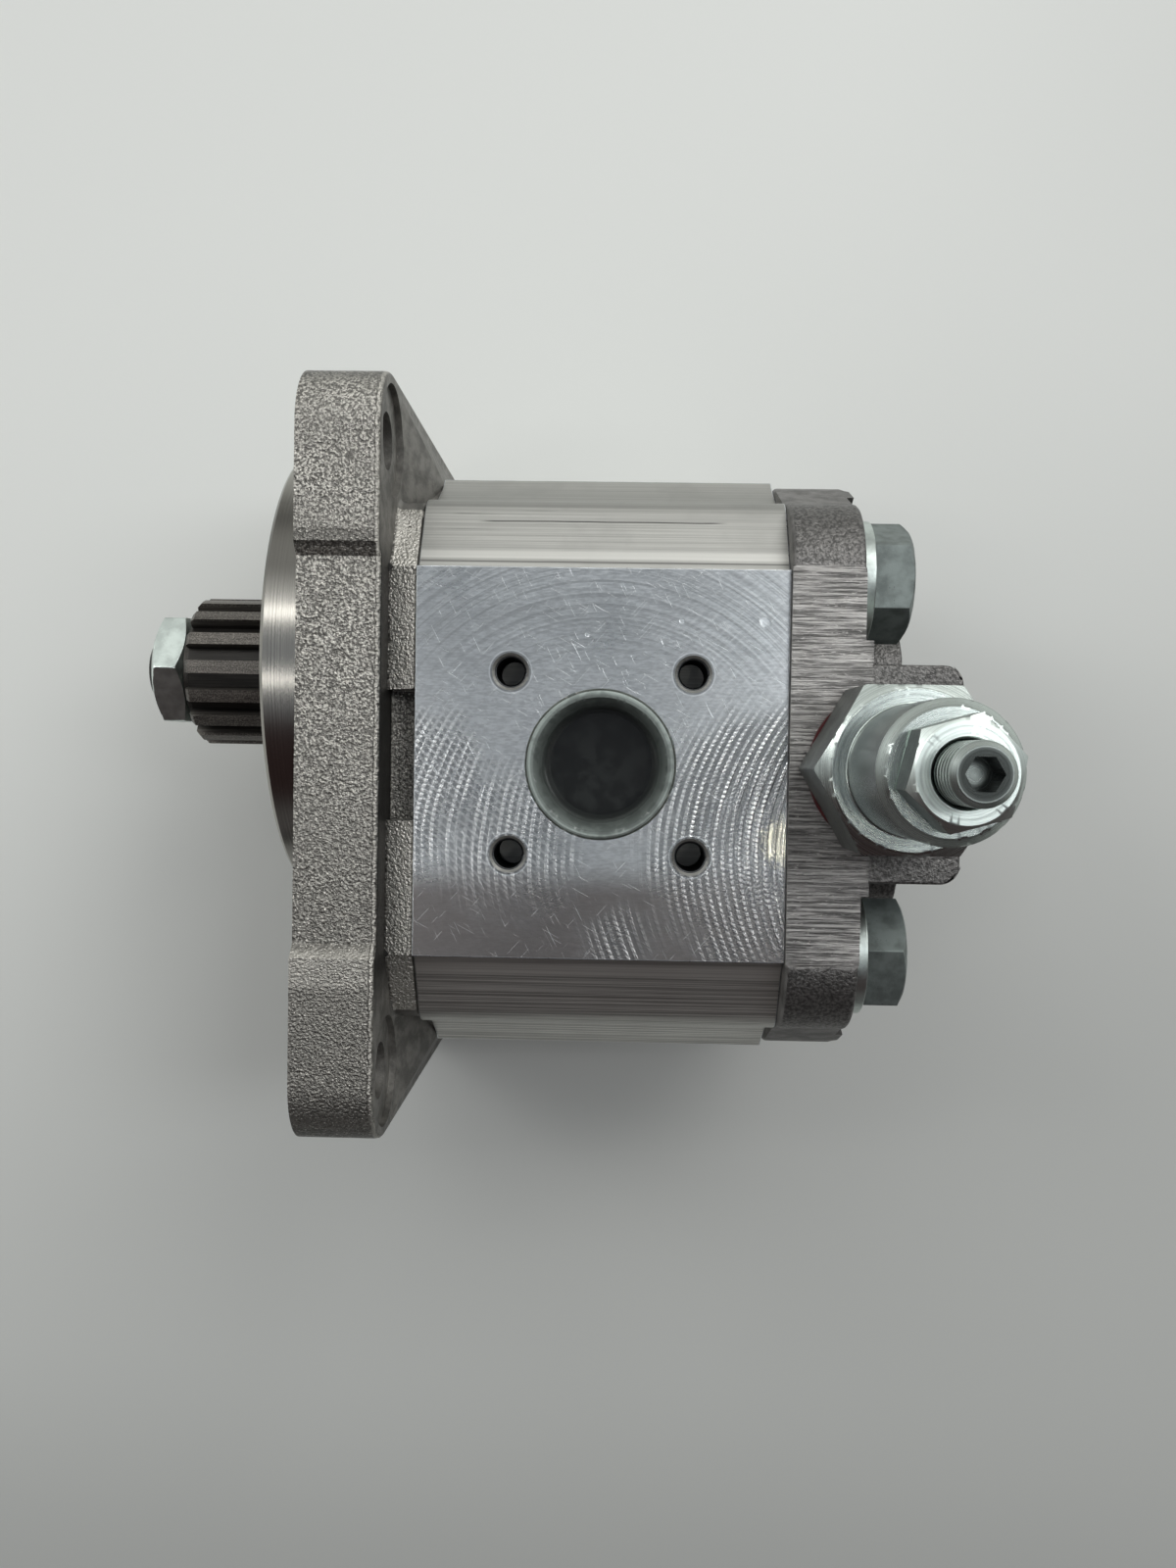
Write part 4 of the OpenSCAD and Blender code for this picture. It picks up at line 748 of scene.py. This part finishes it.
def mend_flats(obj):
    """Fills a flat face again where rounding its edges has folded some of its triangles over."""
    bm = bmesh.new()
    bm.from_mesh(obj.data)
    bmesh.ops.remove_doubles(bm, verts=bm.verts, dist=WELD)
    bmesh.ops.dissolve_degenerate(bm, edges=bm.edges, dist=WELD)
    bm.normal_update()
    seen = set()
    for start in list(bm.faces):
        if not start.is_valid or start in seen:
            continue
        patch = flat_patch(start)
        seen |= patch
        normal = sum((f.normal * f.calc_area() for f in patch), Vector()).normalized()
        if all(f.normal.dot(normal) > 0.0 for f in patch):
            continue
        finish = start.material_index
        corners = [list(f.verts) for f in patch]
        edges = {e for f in patch for e in f.edges}
        rim = [e for e in edges if any(f not in patch for f in e.link_faces)]
        bmesh.ops.delete(bm, geom=list(patch), context="FACES_ONLY")
        filled = bmesh.ops.triangle_fill(bm, use_beauty=True, edges=rim, normal=normal)
        made = [f for f in filled["geom"] if isinstance(f, bmesh.types.BMFace)]
        if any(len(e.link_faces) != 2 for e in rim):
            bmesh.ops.delete(bm, geom=made, context="FACES_ONLY")
            made = [bm.faces.new(loop) for loop in corners]
        else:
            loose = [e for e in edges if e.is_valid and not e.link_faces]
            bmesh.ops.delete(bm, geom=loose, context="EDGES")
        for face in made:
            face.normal_update()
            if face.normal.dot(normal) < 0.0:
                face.normal_flip()
            face.material_index = finish
            seen.add(face)
    loose = [e for e in bm.edges if not e.link_faces]
    bmesh.ops.delete(bm, geom=loose, context="EDGES")
    bm.to_mesh(obj.data)
    bm.free()


def finish_modifier(obj, modifier):
    """Applies a modifier."""
    only(obj)
    bpy.ops.object.modifier_apply(modifier=modifier.name)


def shade(obj, angle=32.0):
    """Smooth shading that keeps flat faces flat."""
    only(obj)
    bpy.ops.object.shade_smooth_by_angle(angle=math.radians(angle))
    modifier = obj.modifiers.new("flats", "WEIGHTED_NORMAL")
    modifier.keep_sharp = True
    finish_modifier(obj, modifier)


def wear_finishes(obj, *materials):
    """Adds finishes to an object, one slot each."""
    for material in materials:
        obj.data.materials.append(material)


def finish_where(obj, slot, test):
    """Gives a finish to the faces that pass a test on their middle, in mm, and normal."""
    for face in obj.data.polygons:
        if test(face.center / MM, face.normal):
            face.material_index = slot


def stand_for(obj, node):
    """The piece rides where its CAD node rides, and is shown in its place."""
    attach(obj, frame["nodes"][node]["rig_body"])
    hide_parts(node)


def dress(node, finishes, width, segments=2, smooth=32.0, places=(), pick=None):
    """A CAD node's stand-in, with its finishes on and its sharp edges rounded.

    Each of places is a slot and a test of the faces that wear it.
    """
    obj = copy_of(node)
    wear_finishes(obj, *finishes)
    for place, test in places:
        finish_where(obj, place, test)
    round_edges(obj, width, segments, pick)
    shade(obj, smooth)
    stand_for(obj, node)


def thread_ridge(base_r, crest_r, pitch, turns, steps=28):
    """A V-shaped helical ridge round Z, from 0 upwards, closed at both ends."""
    bpy.ops.object.select_all(action="DESELECT")
    bpy.ops.mesh.primitive_circle_add(vertices=3, radius=1.0, fill_type="NOTHING")
    obj = bpy.context.object
    half = 0.42 * pitch
    corners = ((base_r, -half), (base_r, half), (crest_r, 0.0))
    for vertex, (r, z) in zip(obj.data.vertices, corners):
        vertex.co = (r, 0.0, z)
    screw = obj.modifiers.new("helix", "SCREW")
    screw.screw_offset = pitch
    screw.iterations = turns
    screw.steps = screw.render_steps = steps
    screw.use_merge_vertices = False
    finish_modifier(obj, screw)
    bpy.ops.object.mode_set(mode="EDIT")
    bpy.ops.mesh.select_all(action="DESELECT")
    bpy.ops.mesh.select_mode(type="EDGE")
    bpy.ops.mesh.select_non_manifold()
    bpy.ops.mesh.edge_face_add()
    bpy.ops.mesh.select_all(action="SELECT")
    bpy.ops.mesh.normals_make_consistent(inside=False)
    bpy.ops.mesh.select_mode(type="VERT")
    bpy.ops.object.mode_set(mode="OBJECT")
    return obj


def join(obj, *others):
    """Makes other objects part of this one."""
    only(obj)
    for other in others:
        other.select_set(True)
    bpy.ops.object.join()


def carry(finish, *nodes):
    """A CAD node whose shape is right keeps it, and wears a better finish."""
    for node in nodes:
        for slot in frame["nodes"][node].material_slots:
            slot.material = finish


# ---- operators ----

def chosen(context):
    """The sizes and colours set in the panel."""
    return context.scene.pump_sizes, context.scene.pump_tints


class PUMP_OT_front_cover(bpy.types.Operator):
    """Dress the front cover: cast flange and neck, turned pilot"""

    bl_idname = "pump.front_cover"
    bl_label = "Front cover"

    def execute(self, context):
        sizes, tints = chosen(context)

        def on_pilot(p, n):
            return p.x < PILOT_FACE_X

        def on_back(p, n):
            in_seat = any(
                math.hypot(p.y - y, abs(p.z) - z) < FLANGE_SEAT_R for y, z in FLANGE_SEATS
            )
            return n.x > 0.6 or in_seat or (p.x > FLANGE_BACK_X and abs(n.z) < 0.75)

        dress(
            "front_cover",
            (blasted_iron("cast_iron_blasted", tints.cast, SEAM_X, 1.25),
             smooth_cast("cast_iron_skin", scaled(tints.cast, 0.56), CREASE_X),
             turned("cast_iron_turned", scaled(tints.cast, 1.15), "x", (0.0, 0.0), rough=0.16,
                    painted_shade=PILOT_PAINTED_SHADE_Y)),
            sizes.cast_round, 3, places=((1, on_back), (2, on_pilot)),
            pick=lambda p: 1.0 if p.x > ROUND_FROM_X else 0.0,
        )
        return {"FINISHED"}


class PUMP_OT_body(bpy.types.Operator):
    """Dress the extruded body, its fly-cut port faces and its port threads"""

    bl_idname = "pump.body"
    bl_label = "Pump body"

    def execute(self, context):
        sizes, tints = chosen(context)
        obj = copy_of("pump_body")
        face, edges, threads = 1, 3, 4
        wear_finishes(
            obj,
            drawn("aluminium_extruded", (0.56, 0.555, 0.53), SCRATCH),
            fly_cut("aluminium_fly_cut", scaled(tints.aluminium, 1.14), sizes.port_bolts / MM),
            turned("aluminium_bored", tints.aluminium, "z", (PORT_X, PORT_Y), rough=0.3),
            plated("aluminium_edges", scaled(tints.aluminium, 1.25), 0.2),
        )
        finish_where(obj, face, lambda p, n: abs(n.z) > 0.99 and abs(p.z) > PORT_FACE_Z - 0.1)
        round_edges(obj, sizes.cut_round, 2, edge_finish=edges)
        shade(obj)
        # The port threads wear the aluminium painted very dark: a painted shade inside the holes
        painted_shade_threads = turned("port_threads_painted_shade", scaled(tints.aluminium, 0.18), "z", (0.0, 0.0), rough=0.3)
        wear_finishes(obj, painted_shade_threads)
        core = sizes.port_core / 2
        bores = [(s / MM / 2, core / MM + 0.2) for s in (sizes.port_bolts, sizes.outlet_bolts)]

        def in_bore(p, n):
            across, up = abs(p.x - PORT_X), abs(p.y - PORT_Y)
            return abs(n.z) < 0.3 and any(math.hypot(across - b, up - b) < r for b, r in bores)

        finish_where(obj, threads, in_bore)
        ridges, corners = [], ((-1, -1), (-1, 1), (1, -1), (1, 1))
        foot, crest, coils, below_face = 0.0001, 0.0004, 8, 0.7
        for side, spacing in ((1, sizes.port_bolts), (-1, sizes.outlet_bolts)):
            for sx, sy in corners:
                ridge = thread_ridge(core + foot, core - crest, sizes.port_pitch, coils)
                wear_finishes(ridge, painted_shade_threads)
                centre = PORT_CENTRE + Vector((sx, sy, 0.0)) * (spacing / 2)
                centre.z = side * (PORT_FACE_Z - below_face) * MM
                turn = Matrix.Rotation(math.pi if side > 0 else 0.0, 4, "X")
                ridge.data.transform(Matrix.Translation(centre) @ turn)
                ridges.append(ridge)
        join(obj, *ridges)
        stand_for(obj, "pump_body")
        return {"FINISHED"}


class PUMP_OT_rear_cover(bpy.types.Operator):
    """Dress the rear cover: cast lobes and boss, milled sides"""

    bl_idname = "pump.rear_cover"
    bl_label = "Rear cover"

    def execute(self, context):
        sizes, tints = chosen(context)
        dress(
            "rear_cover",
            (milled_iron("rear_iron_milled", tints.rear, REAR_MILLED_HALF, REAR_MILLED_BACK_X),
             smooth_cast("rear_iron_skin", scaled(tints.rear, 0.7))),
            sizes.cast_round, 3,
            places=((1, lambda p, n: n.x < -0.9 or abs(p.y - PORT_Y) > REAR_LOBE_HALF),),
            pick=lambda p: 1.0 if p.x < REAR_BACK_X else 0.5,
        )
        return {"FINISHED"}


class PUMP_OT_cover_bolts(bpy.types.Operator):
    """Dress the four long bolts and their washers"""

    bl_idname = "pump.cover_bolts"
    bl_label = "Cover bolts and washers"

    def execute(self, context):
        sizes, tints = chosen(context)
        dress(
            "cover_bolts", [flaked("zinc_flake", tints.bolt)], sizes.bolt_round,
            smooth=20.0, pick=lambda p: 1.0 if p.x > BOLT_HEAD_X else 0.0,
        )
        dress("bolt_washers", [plated("zinc_washer", tints.zinc)], sizes.cut_round, 3)
        return {"FINISHED"}


class PUMP_OT_relief_valve(bpy.types.Operator):
    """Dress the relief valve: hexagon body, lock nut and adjusting screw"""

    bl_idname = "pump.relief_valve"
    bl_label = "Relief valve"

    def execute(self, context):
        sizes, tints = chosen(context)
        # Painted light and shade: the top faces wear lighter copies of the zinc, the flats and the
        # collar darker ones
        painted_shade_zinc = scaled(tints.zinc, 0.34)

        def on_side(p, n):
            return abs(n.z) < 0.2

        def on_collar(p, n):
            return on_side(p, n) and COLLAR_Z[0] < p.z < COLLAR_Z[1]

        def on_thread(p, n):
            return on_side(p, n) and math.hypot(p.x - VALVE_AXIS[0], p.y - VALVE_AXIS[1]) > 3.0

        for node, slot, face in (
            ("valve_body", "zinc_valve",
             turned("zinc_turned", tints.zinc, "z", VALVE_AXIS, rough=0.22, depth_mm=0.018)),
            ("lock_nut", "zinc_lock_nut",
             turned("nut_face", scaled(tints.zinc, 1.35), "z", VALVE_AXIS, depth_mm=0.02)),
        ):
            flats = plated(node + "_flats", scaled(tints.zinc, 0.3), 0.28)
            collar = turned(node + "_collar", painted_shade_zinc, "z", VALVE_AXIS, rough=0.2, depth_mm=0.006)
            dress(node, (face, flats, collar), sizes.cut_round, smooth=20.0,
                  places=((1, on_side), (2, on_collar)))
        screw = copy_of("adjusting_screw")
        wear_finishes(
            screw, cupped("zinc_screw_end", tints.zinc, VALVE_AXIS),
            threaded("zinc_thread", tints.zinc, sizes.screw_pitch / MM),
        )
        finish_where(screw, 1, on_thread)
        shade(screw, 20.0)
        stand_for(screw, "adjusting_screw")
        carry(rubber("red_seal", (0.075, 0.008, 0.010)), "valve_seal")
        return {"FINISHED"}


class PUMP_OT_drive_end(bpy.types.Operator):
    """Dress the coupling hub, its washer and nut, and oil the shaft's stud black"""

    bl_idname = "pump.drive_end"
    bl_label = "Drive end"

    def execute(self, context):
        sizes, tints = chosen(context)
        phosphate = phosphated("hub_phosphate", tints.hub)
        oiled = phosphated("washer_oiled", scaled(tints.hub, 1.8))
        zinc = plated("nut_zinc", scaled(tints.zinc, 1.3), 0.25)
        dress("splined_hub", [phosphate], sizes.cut_round)
        dress("shaft_washer", [oiled], sizes.cut_round)
        dress("shaft_nut", [zinc], sizes.cut_round, smooth=20.0)
        ground = turned("shaft_ground", (0.5, 0.5, 0.52), "x", (0.0, 0.0), rough=0.2,
                        black_to=SHAFT_BLACK_X)
        carry(ground, "drive_gear_shaft", "driven_gear_shaft")
        return {"FINISHED"}


class PUMP_OT_port_plugs(bpy.types.Operator):
    """Dress the two push-in port plugs"""

    bl_idname = "pump.port_plugs"
    bl_label = "Port plugs"

    def execute(self, context):
        sizes, tints = chosen(context)
        for node, floor_r, rim_r in (("suction_plug", 8.35, 11.2), ("pressure_plug", 5.85, 8.7)):
            finish = smoky_plastic(node + "_plastic", tints.plug, floor_r, rim_r)
            dress(node, [finish], sizes.plug_round)
        return {"FINISHED"}


class PUMP_OT_inner_parts(bpy.types.Operator):
    """Finish the parts inside: blocks, bushes, seals, springs and pins"""

    bl_idname = "pump.inner_parts"
    bl_label = "Inner parts"

    def execute(self, context):
        tints = context.scene.pump_tints
        carry(drawn("block_machined", scaled(tints.aluminium, 1.1)),
              "front_bearing_block", "rear_bearing_block")
        carry(plated("bush_lining_bronze", (0.5, 0.33, 0.16), 0.3),
              "drive_front_bush", "drive_rear_bush", "driven_front_bush", "driven_rear_bush")
        carry(rubber("seal_black", (0.02, 0.02, 0.02)), "front_body_seal", "rear_body_seal",
              "front_pressure_seal", "rear_pressure_seal", "plate_ring")
        carry(plastic("backup_ivory", (0.68, 0.64, 0.5)), "front_backup_ring", "rear_backup_ring")
        carry(rubber("lip_seal_brown", (0.035, 0.022, 0.018)), "shaft_seal")
        carry(plated("steel_bright", (0.5, 0.5, 0.51), 0.22), "dowel_pins", "hub_key",
              "seal_spring", "spring_plate", "valve_poppet", "valve_seat")
        carry(flaked("steel_blued", (0.05, 0.05, 0.06)), "seal_circlip")
        return {"FINISHED"}


class PUMP_OT_valve_spring(bpy.types.Operator):
    """Part the valve's spring in two halves"""

    bl_idname = "pump.valve_spring"
    bl_label = "Valve spring"

    def execute(self, context):
        low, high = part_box("valve_spring")
        end_turn = 0.002
        middle = (VALVE_CENTRE.x, VALVE_CENTRE.y, (low.z + high.z) / 2)
        wire = drawn("spring_wire", (0.2, 0.2, 0.22))
        for name, body, end_z in (
            ("lower", "poppet", low.z + end_turn), ("upper", "spring_carrier", high.z - end_turn)
        ):
            obj = copy_of("valve_spring")
            obj.name = "valve_spring_" + name
            bpy.ops.object.mode_set(mode="EDIT")
            bpy.ops.mesh.select_all(action="SELECT")
            bpy.ops.mesh.bisect(
                plane_co=middle, plane_no=(0.0, 0.0, 1.0), use_fill=True,
                clear_inner=name == "upper", clear_outer=name == "lower",
            )
            bpy.ops.object.mode_set(mode="OBJECT")
            wear_finishes(obj, wire)
            shade(obj, 50.0)
            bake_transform(obj)
            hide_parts("valve_spring")
        return {"FINISHED"}


class PUMP_OT_stage(bpy.types.Operator):
    """Lay the pump on a pale bench, with soft lamps and a camera over it"""

    bl_idname = "pump.stage"
    bl_label = "Bench, lamps and camera"

    def execute(self, context):
        lay_bench(context.scene.pump_tints.floor)
        light_world(context.scene)
        window, room = (1.0, 0.99, 0.96), (1.0, 1.0, 0.98)
        lamp("lamp_window", (-0.28, 0.60, 1.23), (0.45, 0.13), 0.70, window)
        lamp("lamp_left", (-0.45, -0.14, 1.15), (0.35, 0.10), 0.50, window)
        lamp("lamp_right", (0.62, 0.17, 1.08), (0.5, 0.20), 2.2, (0.97, 0.99, 1.0))
        lamp("lamp_glint", (0.222, -0.112, 1.10), (0.03, 0.08), 0.085, (1.0, 0.98, 0.90))
        lamp("lamp_glint_left", (-0.160, -0.035, 1.10), (0.015, 0.05), 0.016, (1.0, 1.0, 1.0))
        lamp("lamp_room", (0.70, 0.80, 0.95), (0.8, 0.6), 5.0, room)
        lamp("lamp_room_left", (-0.95, 0.55, 0.90), (0.5, 0.5), 2.6, room)
        place_camera(context.scene)
        return {"FINISHED"}


def lay_bench(colour):
    """The pump stands on its flange's edge and the rear cover, so the bench is tilted."""
    flange_inset, rear_inset, air = 0.020, 0.0125, Vector((0.0, 0.0, -0.0003))
    flange_edge = Vector((COVER_LOW.x + flange_inset, 0.0, COVER_LOW.z))
    rear_edge = Vector((BODY_HIGH.x + rear_inset, 0.0, REAR_LOW.z))
    slope = math.atan2(rear_edge.z - flange_edge.z, rear_edge.x - flange_edge.x)
    bpy.ops.object.select_all(action="DESELECT")
    bpy.ops.mesh.primitive_plane_add(size=4.0)
    bench = bpy.context.object
    bench.name = "bench"
    bench.data.transform(Matrix.Translation(flange_edge + air) @ Matrix.Rotation(-slope, 4, "Y"))
    # Painted light toward the window, painted shade at the lower edge, the far corner and far off
    # along -Y
    f = Finish("bench_top", {"Specular IOR Level": 0.3})
    cloud = f.noise(f.mm, 0.008, 2.0)
    fine = f.noise(f.mm, 0.8, 3.0)
    away = (0.9 * f.y - 0.35 * f.x) + 15.0 * cloud
    # Painted shade at the lower edge and the far corner
    painted_shade = f.y.step(-150.0, -215.0) * 0.14 + f.x.step(90.0, 190.0) * f.y.step(60.0, 150.0) * 0.09
    top = f.toned(
        colour, away.step(-230.0, 120.0), 0.76, 1.36,
        (painted_shade, (0.0, 0.0, 0.0)), (f.y.step(-210.0, -520.0), 0.12),
    )
    bench.data.materials.append(f.wear(top, 0.55, fine, 0.01))


def light_world(scene):
    """A soft room: pale on the window side, dark brown on the other, dimmer right overhead."""
    world = bpy.data.worlds.new("soft_room")
    scene.world = world
    world.use_nodes = True
    f = Nodes(world.node_tree)
    toward = f.add("ShaderNodeTexCoord", out="Generated")
    split = f.add("ShaderNodeSeparateXYZ", {}, {0: toward}, "Y")
    up = Value(f, split.socket.node.outputs["Z"])
    walls = f.add("ShaderNodeValToRGB", {}, {0: (split + 1.0) / 2.0})
    ramp = walls.socket.node.color_ramp
    stops = (
        (0.0, (0.030, 0.018, 0.018)), (0.38, (0.035, 0.022, 0.022)), (0.47, (0.14, 0.14, 0.14)),
        (0.54, (0.42, 0.44, 0.45)), (0.72, (0.74, 0.76, 0.76)), (1.0, (0.84, 0.85, 0.82)),
    )
    while len(ramp.elements) < len(stops):
        ramp.elements.new(0.5)
    for element, (position, colour) in zip(ramp.elements, stops):
        element.position = position
        element.color = (*colour, 1.0)
    sky = f.mix(up.step(0.42, 0.12) * 0.75, walls, (0.12, 0.12, 0.12))
    sky = f.mix(up.step(0.82, 0.96), sky, (0.25, 0.27, 0.29))
    band = f.mix(split.step(-0.6, 0.2), (0.10, 0.095, 0.095), (0.50, 0.51, 0.49))
    sky = f.mix(up.step(0.20, 0.04), sky, band)
    f.give(world.node_tree.nodes["Background"], "Color", sky)


def lamp(name, place, size, watts, colour):
    """A panel lamp with its long side along the bench, aimed at the pump."""
    data = bpy.data.lights.new(name, "AREA")
    data.shape = "RECTANGLE"
    data.size, data.size_y = size
    data.energy = watts
    data.color = colour
    obj = bpy.data.objects.new(name, data)
    obj.location = Vector(place)
    back = (obj.location - Vector((PORT_CENTRE.x, PORT_CENTRE.y, 0.0))).normalized()
    side = (Vector((1.0, 0.0, 0.0)) - back * back.x).normalized()
    turn = Matrix((side, back.cross(side), back)).transposed()
    obj.rotation_mode = "QUATERNION"
    obj.rotation_quaternion = turn.to_quaternion()
    bpy.context.scene.collection.objects.link(obj)


def place_camera(scene):
    """A camera over the port face, turned by a rotation vector in radians."""
    data = bpy.data.cameras.new("camera")
    data.lens = 28.2575
    data.sensor_width = 36.0
    data.clip_start, data.clip_end = 0.01, 20.0
    camera = bpy.data.objects.new("camera", data)
    turn = Vector((0.0237675, -0.0237420, -0.0165670))
    camera.location = (0.0492129, -0.0144844, 0.2308793)
    camera.rotation_mode = "QUATERNION"
    camera.rotation_quaternion = Quaternion(turn.normalized(), -turn.length)
    scene.collection.objects.link(camera)
    scene.camera = camera
    scene.view_settings.view_transform = "Standard"


STEPS = (
    PUMP_OT_front_cover, PUMP_OT_body, PUMP_OT_rear_cover, PUMP_OT_cover_bolts,
    PUMP_OT_relief_valve, PUMP_OT_drive_end, PUMP_OT_port_plugs, PUMP_OT_inner_parts,
    PUMP_OT_valve_spring, PUMP_OT_stage,
)


class PUMP_PT_panel(bpy.types.Panel):
    """The pump's sizes, colours and making steps"""

    bl_label = "Gear pump"
    bl_idname = "PUMP_PT_panel"
    bl_space_type = "VIEW_3D"
    bl_region_type = "UI"
    bl_category = "Gear pump"

    def draw(self, context):
        for group in (context.scene.pump_sizes, context.scene.pump_tints):
            for name in group.__annotations__:
                self.layout.prop(group, name)
        for step in STEPS:
            self.layout.operator(step.bl_idname)


CLASSES = (PumpSizes, PumpTints, *STEPS, PUMP_PT_panel)


def register():
    for part in CLASSES:
        bpy.utils.register_class(part)
    bpy.types.Scene.pump_sizes = bpy.props.PointerProperty(type=PumpSizes)
    bpy.types.Scene.pump_tints = bpy.props.PointerProperty(type=PumpTints)


def unregister():
    del bpy.types.Scene.pump_tints
    del bpy.types.Scene.pump_sizes
    for part in reversed(CLASSES):
        bpy.utils.unregister_class(part)


def main():
    register()
    for step in STEPS:
        group, name = step.bl_idname.split(".")
        getattr(getattr(bpy.ops, group), name)()


if __name__ == "__main__":
    main()
